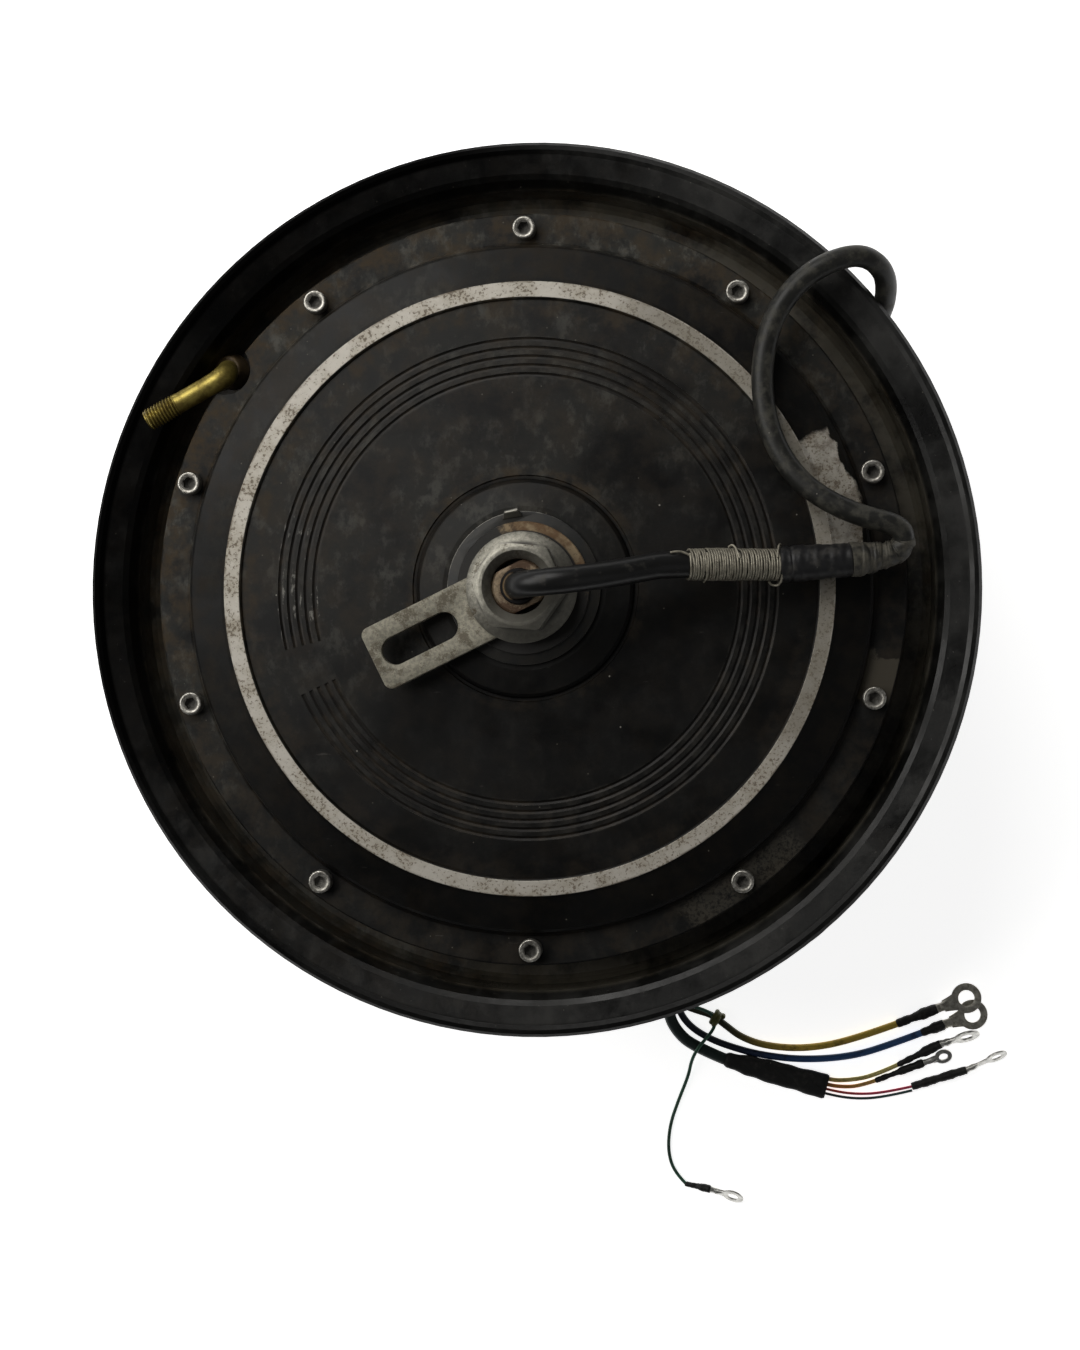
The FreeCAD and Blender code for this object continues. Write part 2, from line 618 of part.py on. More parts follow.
EXTENSION_CABLE = [
    SLEEVE_END, (131.6, 11.0, 122.6), (137.4, 15.2, 123.6), (135.6, 22.0, 125.8), (121.4, 25.2, 126.8),
    (108.2, 31.4, 126.6), (98.2, 39.6, 125.4), (90.6, 51.6, 124.2), (86.6, 65.6, 123.6),
    (86.2, 82.0, 123.2), (90.2, 97.6, 122.8), (99.0, 110.0, 122.4), (110.6, 117.6, 121.4),
    (122.6, 120.4, 118.6), (130.6, 115.6, 110.5), (131.8, 107.6, 99.5), (128.5, 100.0, 88.0),
    (126.2, 96.2, 72.0), (127.8, 93.2, 52.0), (133.2, 85.6, 35.0), (140.0, 74.4, 28.0),
    (150.6, 48.9, 27.0), (157.1, 19.3, 27.0), (157.9, -11.0, 27.0), (152.9, -41.0, 27.0),
    (141.0, -71.9, 27.0), (123.0, -99.6, 27.0), (118.3, -114.2, 27.0), (109.5, -130.5, 22.3),
    (94.1, -142.1, 11.8), (81.0, -142.0, 5.0), (69.0, -136.6, 4.3), (58.4, -138.4, 4.3),
    (52.0, -146.4, 4.5), (49.6, -156.0, 5.0),
]

BREAKOUT_LENGTH = 7.0

YELLOW_WIRE = [
    (51.0, -164.85, 5.2), (53.6, -167.4, 4.4), (58.6, -169.4, 2.7), (64.6, -171.2, 1.8),
    (70.0, -175.4, 1.65), (76.6, -180.4, 1.6), (87.0, -183.8, 1.6), (103.0, -184.6, 1.6),
    (121.0, -181.0, 1.6), (140.3, -173.6, 2.0),
]

BLUE_WIRE = [
    (49.4, -164.05, 2.2), (51.0, -170.0, 1.7), (55.4, -176.0, 1.6), (62.6, -180.6, 1.6),
    (71.0, -183.9, 1.6), (84.0, -187.4, 1.6), (102.0, -189.2, 1.6), (122.0, -187.4, 1.6),
    (137.6, -182.2, 1.6), (150.0, -177.2, 2.1),
]

SENSOR_BUNDLE = [
    (45.9, -163.45, 4.5), (46.7, -171.2, 3.0), (50.2, -178.2, 2.6), (56.8, -184.0, 2.55),
    (69.8, -189.2, 2.7),
]

SENSOR_SLEEVE_END = (111.4, -199.9, 2.7)

PALE_WIRE = [
    (96.6, -193.2, 2.6), (112.2, -197.2, 2.5), (120.6, -197.2, 1.5), (130.2, -195.4, 1.1),
    (140.4, -190.4, 1.8),
]

ORANGE_WIRE = [
    (96.1, -195.2, 2.6), (111.8, -199.2, 2.3), (118.2, -200.0, 1.3), (124.6, -199.6, 1.0),
    (131.6, -197.0, 1.6),
]

RED_WIRE = [
    (95.6, -197.0, 2.5), (111.4, -201.1, 2.0), (122.0, -203.0, 0.9), (134.0, -202.4, 0.7),
    (146.3, -199.2, 1.6),
]

GREEN_WIRE = [
    (95.2, -198.8, 2.5), (111.1, -202.9, 2.0), (122.0, -204.9, 0.9), (134.0, -204.2, 0.7),
    (146.0, -200.9, 1.6),
]

GROUND_WIRE = [
    (47.3, -163.5, 8.5), (52.6, -165.8, 8.2), (58.6, -167.6, 6.8), (63.6, -169.6, 5.2),
    (66.2, -172.6, 4.6), (65.4, -176.6, 4.8), (62.2, -180.4, 6.0), (58.7, -184.6, 6.6),
    (56.2, -189.8, 4.4), (54.9, -196.4, 1.4), (50.8, -206.6, 0.85), (47.2, -217.0, 0.85),
    (46.4, -228.0, 0.85), (49.2, -236.6, 0.85), (54.0, -241.0, 1.5),
]

# For each ring terminal: its wire's route and radius, the shrink sleeve's end, the eye's centre,
# then the eye's radius, its hole's radius, the tongue's half width, the plate's thickness, the
# barrel's radius, and the roll about the barrel in degrees.
LEAD_ENDS = {
    "yellow_lead_lug": (
        YELLOW_WIRE, PHASE_R, (155.6, -167.2, 3.7), (167.6, -162.7, 4.0),
        6.1, 3.2, 3.4, 1.2, 1.9, -10),
    "blue_lead_lug": (
        BLUE_WIRE, PHASE_R, (158.6, -173.8, 2.4), (170.2, -169.6, 2.0),
        6.1, 3.2, 3.4, 1.2, 1.9, 0),
    "pale_lead_lug": (
        PALE_WIRE, PALE_R, (157.0, -181.4, 5.0), (167.6, -178.1, 5.6),
        5.4, 2.6, 2.8, 1.0, 1.6, 62),
    "orange_lead_lug": (
        ORANGE_WIRE, ORANGE_R, (150.2, -189.4, 3.2), (158.4, -186.6, 3.4),
        3.6, 1.8, 1.8, 0.8, 1.3, 35),
    "red_lead_lug": (
        RED_WIRE, THIN_R, (167.4, -192.0, 3.4), (179.6, -186.2, 4.4),
        4.6, 2.2, 2.2, 0.8, 1.4, 62),
    "ground_lead_lug": (
        GROUND_WIRE, GROUND_R, (63.6, -242.6, 2.7), (73.2, -245.2, 3.8),
        4.4, 2.2, 2.2, 0.8, 1.3, 52),
}

# the red and the dark green sensor wires share one shrink sleeve and one terminal
SHARED_SLEEVE_R = {"red_lead_lug": 1.7}


def make_wire_binding():
    """Three close windings of steel wire, drawn as one ribbed sleeve each, on the straight cable."""
    start = between(V(*MOTOR_CABLE[-2]), V(*MOTOR_CABLE[-1]), 0.16)
    end = V(*MOTOR_CABLE[-1])
    length = (end - start).Length
    rims = []
    for first, last, r_out in ((0.0, 0.17, 6.3), (0.18, 0.52, 6.5), (0.54, 1.0, 6.4)):
        a = first * length
        b = last * length
        profile = [(a, r_out - 0.5), (a + 0.5, r_out), (b - 0.5, r_out), (b, r_out - 0.5)]
        rims.append(sleeve(start, end, profile, CABLE_R))
    return Part.makeCompound(rims)


def make_splice_sleeve():
    """Shrink sleeve over the splice, and the tape cone wound on the extension cable after it."""
    start = V(*MOTOR_CABLE[-1])
    end = V(*SLEEVE_END)
    length = (end - start).Length
    cover = spindle(start, end, [(0, 6.0), (0.8, 6.7), (length - 1, 6.6), (length, 6.2)])
    tape_end = between(end, V(*EXTENSION_CABLE[1]), 0.5)
    tape_length = (tape_end - end).Length
    tape = sleeve(end, tape_end, [(0, 6.2), (tape_length * 0.6, 5.7), (tape_length, 5.1)], EXTENSION_R)
    return Part.makeCompound([cover, tape])


def make_breakout():
    """Shrink sleeve at the end of the extension cable's jacket, where the leads come out."""
    start = V(*EXTENSION_CABLE[-1])
    way = (start - V(*EXTENSION_CABLE[-2])).normalize()
    length = BREAKOUT_LENGTH
    profile = [(0, 4.4), (1.0, 4.9), (length - 0.6, 4.9), (length, 4.75)]
    return spindle(start, start + way * length, profile)


def make_sensor_sleeve():
    """Flattened shrink sleeve round the sensor wires, wider at its far end."""
    start = V(*SENSOR_BUNDLE[-1])
    end = V(*SENSOR_SLEEVE_END)
    way = (end - start).normalize()
    side = UP.cross(way).normalize()
    sections = []
    for share, half_w, half_h in ((0.0, 3.2, 2.5), (0.3, 4.2, 2.5), (0.85, 5.0, 2.45), (1.0, 4.9, 2.3)):
        centre = between(start, end, share)
        oval = Part.Ellipse(centre + side * half_w, centre + way.cross(side) * half_h, centre)
        sections.append(Part.Wire(oval.toShape()))
    return Part.makeLoft(sections, True, False)


def make_lug(wire_end, eye, eye_r, hole_r, tongue_half, plate_t, barrel_r, roll_deg):
    """Ring terminal from its crimped barrel to its eye, rolled about the barrel's axis."""
    way = (eye - wire_end).normalize()
    reach = (eye - wire_end).Length
    plate = disc(eye_r, -plate_t / 2, plate_t / 2)
    tongue_start = V(-reach + 3.0, -tongue_half, -plate_t / 2)
    tongue = Part.makeBox(reach - 3.0, 2 * tongue_half, plate_t, tongue_start)
    barrel = Part.makeCylinder(barrel_r, 3.6, V(-reach, 0, 0), V(1, 0, 0))
    body = plate.fuse(tongue).fuse(barrel).removeSplitter()
    body = body.cut(disc(hole_r, -plate_t, plate_t))
    body.rotate(V(0, 0, 0), V(1, 0, 0), roll_deg)
    body.Placement = FreeCAD.Placement(eye, FreeCAD.Rotation(V(1, 0, 0), way)).multiply(body.Placement)
    return body


def make_lead_ends(wires):
    """Shrink sleeves and ring terminals at the ends of the leads."""
    sleeves = []
    for node, data in LEAD_ENDS.items():
        route, wire_r, sleeve_end, eye, eye_r, hole_r, tongue, plate, barrel_r, roll = data
        start = V(*route[-1])
        end = V(*sleeve_end)
        length = (end - start).Length
        first_r = SHARED_SLEEVE_R.get(node, wire_r + 0.35)
        profile = [(-0.4, first_r), (length * 0.45, first_r + 0.2), (length * 0.62, barrel_r + 0.35),
                   (length, barrel_r + 0.4), (length + 0.4, barrel_r + 0.2)]
        lug = make_lug(end, V(*eye), eye_r, hole_r, tongue, plate, barrel_r, roll)
        save(node, lug)
        sleeves.append(fitted(spindle(start, end, profile), [lug] + wires))
    save("lead_end_sleeves", Part.makeCompound(sleeves))


def fitted(shape, neighbours):
    """The shape with its neighbours' solids cut out, as a shrunk or moulded sleeve takes their form."""
    for other in neighbours:
        if shape.BoundBox.intersect(other.BoundBox):
            shape = shape.cut(other)
    return shape


def make_cables():
    motor = cord("motor_cable", MOTOR_CABLE, CABLE_R)
    extension = cord("extension_cable", EXTENSION_CABLE, EXTENSION_R)
    bundle = cord("sensor_bundle", SENSOR_BUNDLE, BUNDLE_R)
    wires = [
        cord("yellow_phase_wire", YELLOW_WIRE, PHASE_R),
        cord("blue_phase_wire", BLUE_WIRE, PHASE_R),
        cord("pale_sensor_wire", PALE_WIRE, PALE_R),
        cord("orange_sensor_wire", ORANGE_WIRE, ORANGE_R),
        cord("red_sensor_wire", RED_WIRE, THIN_R),
        cord("green_sensor_wire", GREEN_WIRE, THIN_R),
        cord("ground_wire", GROUND_WIRE, GROUND_R),
    ]
    binding = make_wire_binding()
    save("wire_binding", binding)
    save("splice_sleeve", fitted(make_splice_sleeve(), [motor, binding, extension]))
    save("breakout_sleeve", make_breakout())
    save("sensor_sleeve", fitted(make_sensor_sleeve(), [bundle] + wires))
    make_lead_ends(wires)


def main():
    os.makedirs("parts", exist_ok=True)
    rim = make_rim()
    save("rim", rim)
    save("rotor_ring", ring(DRUM_BORE_R, MAGNET_BACK_R, MID_Z - STACK_HALF - 3, MID_Z + STACK_HALF + 3))
    save("magnets", make_magnets())
    save("upper_cover", make_upper_cover())
    save("lower_cover", make_lower_cover())
    save("upper_cover_gasket", make_gasket(MID_Z + DRUM_HALF, True))
    save("lower_cover_gasket", make_gasket(MID_Z - DRUM_HALF - GASKET_T, False))
    make_cover_screws()
    save("stator_core", toothed_ring(CORE_BORE_R, STATOR_R, MID_Z - STACK_HALF, MID_Z + STACK_HALF))
    z = MID_Z + STACK_HALF
    save("upper_slot_insulator", toothed_ring(84.0, 113.5, z, z + INSULATOR_T))
    z = MID_Z - STACK_HALF
    save("lower_slot_insulator", toothed_ring(84.0, 113.5, z - INSULATOR_T, z))
    make_windings()
    save("stator_carrier", make_stator_carrier())
    make_inner_leads(make_hall_board())
    save("axle", make_axle())
    make_bearing("upper", UPPER_BEARING, 9, 3.7)
    make_bearing("lower", LOWER_BEARING, 8, 3.7)
    save("axle_spacer", make_spacer())
    save("tab_washer", make_tab_washer())
    save("torque_arm", make_torque_arm())
    save("axle_nut", make_nut())
    save("shaft_seal", make_shaft_seal())
    save("cable_bush", make_cable_bush())
    save("inner_cable", disc(CABLE_R, 92.0, CABLE_EXIT_Z))
    make_valve(rim)
    make_cables()
    print(len(volumes), "nodes")


main()
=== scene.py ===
import math
import random

import bmesh
import bpy
from mathutils import Matrix, Vector


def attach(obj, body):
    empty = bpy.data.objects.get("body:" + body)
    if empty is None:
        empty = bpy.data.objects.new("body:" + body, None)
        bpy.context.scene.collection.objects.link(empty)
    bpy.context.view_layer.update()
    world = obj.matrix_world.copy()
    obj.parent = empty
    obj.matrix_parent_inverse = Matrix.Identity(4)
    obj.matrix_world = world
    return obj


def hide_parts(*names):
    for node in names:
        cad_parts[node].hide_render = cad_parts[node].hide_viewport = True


# Hub motor wheel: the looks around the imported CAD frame. Everything is in metres, in the frame's own
# axes: Z is the axle's axis and points to the cable side, and the wheel rests on z = 0.

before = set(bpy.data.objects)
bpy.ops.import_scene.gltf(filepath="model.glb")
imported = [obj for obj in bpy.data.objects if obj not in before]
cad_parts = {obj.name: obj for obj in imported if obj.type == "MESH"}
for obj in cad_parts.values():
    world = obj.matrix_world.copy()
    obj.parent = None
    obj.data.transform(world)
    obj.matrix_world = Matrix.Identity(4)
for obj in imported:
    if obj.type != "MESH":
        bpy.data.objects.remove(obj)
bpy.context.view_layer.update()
random.seed(11)

UP = Vector((0, 0, 1))

# ---- the camera's place ----
AIM = Vector((0.0042, -0.0316, 0.107))
CAMERA_DISTANCE = 0.9
CAMERA_TILT = math.radians(5.8)
LENS = 64.8
SENSOR = 36.0

# ---- sizes of the wheel's bands, as radius or height ----
RING_IN = 0.1072             # bare turned ring of the cable-side cover
RING_OUT = 0.1126
STEP_R = 0.1263              # step between the shoulder and the bolted flange
DISC_OUTER = (0.1062, 0.1157)
DISC_INNER = (0.0416, 0.1198)
GROOVES = (0.0775, 0.0925)   # first and last radius of the grooved band
BOSS_R = 0.0400
LIP_R = 0.166

# ---- sizes of the cords ----
CABLE_R = 0.0048
EXTENSION_R = 0.0040
PHASE_R = 0.00145
BUNDLE_R = 0.0024
PALE_R = 0.0009
ORANGE_R = 0.0008
THIN_R = 0.00055
GROUND_R = 0.0007

# ---- the cords' routes, the same points as the CAD tubes have ----
MOTOR_CABLE = [
    (0.0, 0.0, 0.1435), (0.0, 0.0, 0.1495), (0.0042, 0.0004, 0.155), (0.0112, 0.001, 0.1576),
    (0.0195, 0.0018, 0.1566), (0.031, 0.0034, 0.152), (0.043, 0.0058, 0.1454), (0.054, 0.008, 0.1402),
    (0.0924, 0.0078, 0.129),
]
EXTENSION_CABLE = [
    (0.1177, 0.0096, 0.1254), (0.1316, 0.011, 0.1226), (0.1374, 0.0152, 0.1236),
    (0.1356, 0.022, 0.1258), (0.1214, 0.0252, 0.1268), (0.1082, 0.0314, 0.1266),
    (0.0982, 0.0396, 0.1254), (0.0906, 0.0516, 0.1242), (0.0866, 0.0656, 0.1236),
    (0.0862, 0.082, 0.1232), (0.0902, 0.0976, 0.1228), (0.099, 0.11, 0.1224), (0.1106, 0.1176, 0.1214),
    (0.1226, 0.1204, 0.1186), (0.1306, 0.1156, 0.1105), (0.1318, 0.1076, 0.0995), (0.1285, 0.1, 0.088),
    (0.1262, 0.0962, 0.072), (0.1278, 0.0932, 0.052), (0.1332, 0.0856, 0.035), (0.14, 0.0744, 0.028),
    (0.1506, 0.0489, 0.027), (0.1571, 0.0193, 0.027), (0.1579, -0.011, 0.027), (0.1529, -0.041, 0.027),
    (0.141, -0.0719, 0.027), (0.123, -0.0996, 0.027), (0.1183, -0.1142, 0.027),
    (0.1095, -0.1305, 0.0223), (0.0941, -0.1421, 0.0118), (0.081, -0.142, 0.005),
    (0.069, -0.1366, 0.0043), (0.0584, -0.1384, 0.0043), (0.052, -0.1464, 0.0045),
    (0.0496, -0.156, 0.005),
]
YELLOW_WIRE = [
    (0.051, -0.16485, 0.0052), (0.0536, -0.1674, 0.0044), (0.0586, -0.1694, 0.0027),
    (0.0646, -0.1712, 0.0018), (0.07, -0.1754, 0.00165), (0.0766, -0.1804, 0.0016),
    (0.087, -0.1838, 0.0016), (0.103, -0.1846, 0.0016), (0.121, -0.181, 0.0016),
    (0.1403, -0.1736, 0.002),
]
BLUE_WIRE = [
    (0.0494, -0.16405, 0.0022), (0.051, -0.17, 0.0017), (0.0554, -0.176, 0.0016),
    (0.0626, -0.1806, 0.0016), (0.071, -0.1839, 0.0016), (0.084, -0.1874, 0.0016),
    (0.102, -0.1892, 0.0016), (0.122, -0.1874, 0.0016), (0.1376, -0.1822, 0.0016),
    (0.15, -0.1772, 0.0021),
]
SENSOR_BUNDLE = [
    (0.0459, -0.16345, 0.0045), (0.0467, -0.1712, 0.003), (0.0502, -0.1782, 0.0026),
    (0.0568, -0.184, 0.00255), (0.0698, -0.1892, 0.0027),
]
PALE_WIRE = [
    (0.0966, -0.1932, 0.0026), (0.1122, -0.1972, 0.0025), (0.1206, -0.1972, 0.0015),
    (0.1302, -0.1954, 0.0011), (0.1404, -0.1904, 0.0018),
]
ORANGE_WIRE = [
    (0.0961, -0.1952, 0.0026), (0.1118, -0.1992, 0.0023), (0.1182, -0.2, 0.0013),
    (0.1246, -0.1996, 0.001), (0.1316, -0.197, 0.0016),
]
RED_WIRE = [
    (0.0956, -0.197, 0.0025), (0.1114, -0.2011, 0.002), (0.122, -0.203, 0.0009),
    (0.134, -0.2024, 0.0007), (0.1463, -0.1992, 0.0016),
]
GREEN_WIRE = [
    (0.0952, -0.1988, 0.0025), (0.1111, -0.2029, 0.002), (0.122, -0.2049, 0.0009),
    (0.134, -0.2042, 0.0007), (0.146, -0.2009, 0.0016),
]
GROUND_WIRE = [
    (0.0473, -0.1635, 0.0085), (0.0526, -0.1658, 0.0082), (0.0586, -0.1676, 0.0068),
    (0.0636, -0.1696, 0.0052), (0.0662, -0.1726, 0.0046), (0.0654, -0.1766, 0.0048),
    (0.0622, -0.1804, 0.006), (0.0587, -0.1846, 0.0066), (0.0562, -0.1898, 0.0044),
    (0.0549, -0.1964, 0.0014), (0.0508, -0.2066, 0.00085), (0.0472, -0.217, 0.00085),
    (0.0464, -0.228, 0.00085), (0.0492, -0.2366, 0.00085), (0.054, -0.241, 0.0015),
]
BREAKOUT_LENGTH = 0.007
SENSOR_SLEEVE_END = (0.1114, -0.1999, 0.0027)


# ---- shader shorthand ----

class Shader:
    """A material being made: short ways to add and link nodes. Places are metres in the frame."""

    def __init__(self, name):
        self.material = bpy.data.materials.new(name)
        self.material.use_nodes = True
        self.tree = self.material.node_tree
        self.tree.nodes.clear()
        output = self.node("ShaderNodeOutputMaterial")
        self.surface = self.node("ShaderNodeBsdfPrincipled")
        self.tree.links.new(self.surface.outputs[0], output.inputs[0])
        self.place = self.node("ShaderNodeTexCoord").outputs["Object"]

    def node(self, kind, **settings):
        made = self.tree.nodes.new(kind)
        for key, value in settings.items():
            setattr(made, key, value)
        return made

    def feed(self, socket, value):
        if isinstance(value, bpy.types.NodeSocket):
            self.tree.links.new(value, socket)
        else:
            socket.default_value = value

    def maths(self, operation, a, b):
        made = self.node("ShaderNodeMath", operation=operation)
        self.feed(made.inputs[0], a)
        self.feed(made.inputs[1], b)
        return made.outputs[0]

    def vector(self, operation, a, b=(0.0, 0.0, 0.0)):
        made = self.node("ShaderNodeVectorMath", operation=operation)
        self.feed(made.inputs[0], a)
        self.feed(made.inputs[1], b)
        return made.outputs["Value" if operation in {"LENGTH", "DOT_PRODUCT"} else "Vector"]

    def noise(self, size, detail=4.0, rough=0.55, stretch=(1.0, 1.0, 1.0), shift=0.0):
        """Cloudy value from 0 to 1 whose features are about size metres wide."""
        moved = self.vector("ADD", self.vector("MULTIPLY", self.place, stretch),
                (shift, shift * 0.7, -shift))
        made = self.node("ShaderNodeTexNoise")
        self.feed(made.inputs["Vector"], moved)
        self.feed(made.inputs["Scale"], 1.0 / size)
        self.feed(made.inputs["Detail"], detail)
        self.feed(made.inputs["Roughness"], rough)
        return made.outputs["Fac"]

    def specks(self, size, keep, shift=0.0):
        """1 on round specks about size metres apart, 0 elsewhere; keep is each speck's share."""
        made = self.node("ShaderNodeTexVoronoi", feature="F1")
        self.feed(made.inputs["Vector"], self.vector("ADD", self.place, (shift, -shift, shift)))
        self.feed(made.inputs["Scale"], 1.0 / size)
        return self.step(made.outputs["Distance"], keep, keep * 0.5)

    def step(self, value, low, high):
        """0 below low, 1 above high, smooth between; it falls instead where low is the greater."""
        made = self.node("ShaderNodeMapRange", interpolation_type="SMOOTHSTEP")
        self.feed(made.inputs["Value"], value)
        rising = low <= high
        made.inputs["From Min"].default_value = min(low, high)
        made.inputs["From Max"].default_value = max(low, high)
        made.inputs["To Min"].default_value = 0.0 if rising else 1.0
        made.inputs["To Max"].default_value = 1.0 if rising else 0.0
        return made.outputs["Result"]

    def band(self, value, low, high, soft):
        """1 between low and high, falling to 0 over soft outside them."""
        return self.maths("MULTIPLY", self.step(value, low - soft, low),
                self.step(value, high + soft, high))

    def both(self, *shares):
        """Product of the shares."""
        product = shares[0]
        for share in shares[1:]:
            product = self.maths("MULTIPLY", product, share)
        return product

    def tint(self, colour, new, *shares):
        """The colour with a new one laid over it by the product of the shares."""
        return self.mix(self.both(*shares), colour, new)

    def ragged(self, value, noise, reach):
        """The value shifted up and down by a noise, over reach in all."""
        return self.maths("ADD", value, self.maths("MULTIPLY", self.maths("SUBTRACT", noise, 0.5),
                reach))

    def grime(self):
        """The share of grime and painted shade that the mesh itself carries."""
        return self.node("ShaderNodeAttribute", attribute_name="grime").outputs["Fac"]

    def wave(self, scale, distortion=0.0, **settings):
        """Fine parallel lines or rings, from 0 to 1."""
        made = self.node("ShaderNodeTexWave", **settings)
        self.feed(made.inputs["Vector"], self.place)
        made.inputs["Scale"].default_value = scale
        made.inputs["Distortion"].default_value = distortion
        return made

    def either(self, a, b):
        return self.maths("MAXIMUM", a, b)

    def mix(self, share, a, b):
        """Colour a where share is 0 and b where it is 1."""
        made = self.node("ShaderNodeMix", data_type="RGBA")
        self.feed(made.inputs[0], share)
        self.feed(made.inputs[6], (*a, 1.0) if isinstance(a, tuple) else a)
        self.feed(made.inputs[7], (*b, 1.0) if isinstance(b, tuple) else b)
        return made.outputs[2]

    def value(self, share, a, b):
        """Number a where share is 0 and b where it is 1."""
        made = self.node("ShaderNodeMix", data_type="FLOAT")
        self.feed(made.inputs[0], share)
        self.feed(made.inputs[2], a)
        self.feed(made.inputs[3], b)
        return made.outputs[0]

    def radius_and_angle(self):
        """Distance from the axle, angle round it in degrees from -180 to 180, and height."""
        parts = self.node("ShaderNodeSeparateXYZ")
        self.feed(parts.inputs[0], self.place)
        flat = self.vector("MULTIPLY", self.place, (1.0, 1.0, 0.0))
        turn = self.maths("ARCTAN2", parts.outputs["Y"], parts.outputs["X"])
        return self.vector("LENGTH", flat), self.maths("MULTIPLY", turn,
                180.0 / math.pi), parts.outputs["Z"]

    def toward(self, angle, full, none):
        """1 within full degrees of an angle round the axle, falling to 0 at none degrees from it."""
        way = (math.cos(math.radians(angle)), math.sin(math.radians(angle)), 0.0)
        flat = self.vector("NORMALIZE", self.vector("MULTIPLY", self.place, (1.0, 1.0, 0.0)))
        near = self.vector("DOT_PRODUCT", flat, way)
        return self.step(near, math.cos(math.radians(none)), math.cos(math.radians(full)))

    def relief(self, height, depth, strength=1.0, under=None):
        """Bump of depth metres from a height of 0 to 1."""
        made = self.node("ShaderNodeBump")
        made.inputs["Strength"].default_value = strength
        made.inputs["Distance"].default_value = depth
        self.feed(made.inputs["Height"], height)
        if under is not None:
            self.feed(made.inputs["Normal"], under)
        return made.outputs["Normal"]

    def finish(self, colour, roughness, metallic=0.0, normal=None, **extra):
        self.feed(self.surface.inputs["Base Color"],
                (*colour, 1.0) if isinstance(colour, tuple) else colour)
        self.feed(self.surface.inputs["Roughness"], roughness)
        self.feed(self.surface.inputs["Metallic"], metallic)
        if normal is not None:
            self.feed(self.surface.inputs["Normal"], normal)
        for name, number in extra.items():
            self.feed(self.surface.inputs[name.replace("_", " ")], number)
        return self.material


# ---- materials ----

BLACK_PAINT = (0.0030, 0.0030, 0.0029)
DUST = (0.030, 0.0295, 0.0250)
SMUDGE = (0.120, 0.116, 0.100)
BROWN_DIRT = (0.060, 0.041, 0.021)
# grey dust of the rim's valley, made pale enough to stand in for light where the valley is shaded
GREY_DIRT_AND_LIGHT = (0.125, 0.112, 0.085)
BARE_ALUMINIUM = (0.56, 0.53, 0.475)
PIT_BROWN = (0.13, 0.10, 0.070)


def painted(look, dirt_share, dust_share, gloss=0.36):
    """Worn black powder coat: colour, roughness and relief sockets, before any bare metal."""
    fine = look.noise(0.0011, 5, 0.65)
    cloud = look.noise(0.028, 6, 0.62, shift=3.0)
    smear = look.noise(0.010, 7, 0.68, shift=9.0)
    smudge = look.noise(0.0065, 6, 0.70, stretch=(1.0, 0.7, 1.0), shift=17.0)
    hair = look.noise(0.0016, 3, 0.6, stretch=(0.12, 1.0, 1.0), shift=27.0)
    dusty = look.both(look.step(cloud, 0.36, 0.62), look.value(fine, 0.30, 1.0))
    colour = look.mix(look.both(dusty, dust_share), BLACK_PAINT, DUST)
    smudged = look.both(look.step(smudge, 0.48, 0.66), look.step(cloud, 0.36, 0.56))
    colour = look.tint(colour, SMUDGE, smudged, 0.55, dust_share)
    dirty = look.both(look.step(smear, 0.40, 0.64), look.value(fine, 0.4, 1.0))
    colour = look.tint(colour, BROWN_DIRT, dirty, dirt_share)
    scratched = look.both(look.step(hair, 0.70, 0.76), look.step(smudge, 0.50, 0.60))
    colour = look.tint(colour, (0.09, 0.085, 0.075), scratched, 0.35)
    colour = look.tint(colour, (0.20, 0.185, 0.15), look.specks(0.0075, 0.045), 0.45)
    colour = look.tint(colour, (0.34, 0.32, 0.28), look.specks(0.0180, 0.022, 0.4), 0.8)
    roughness = look.value(dusty, gloss, 0.60)
    roughness = look.value(smudged, roughness, 0.52)
    roughness = look.value(look.both(dirty, dirt_share), roughness, 0.85)
    normal = look.relief(look.maths("ADD", fine, look.both(smear, 1.4)), 0.00007, 0.6)
    return colour, roughness, normal, fine, smear


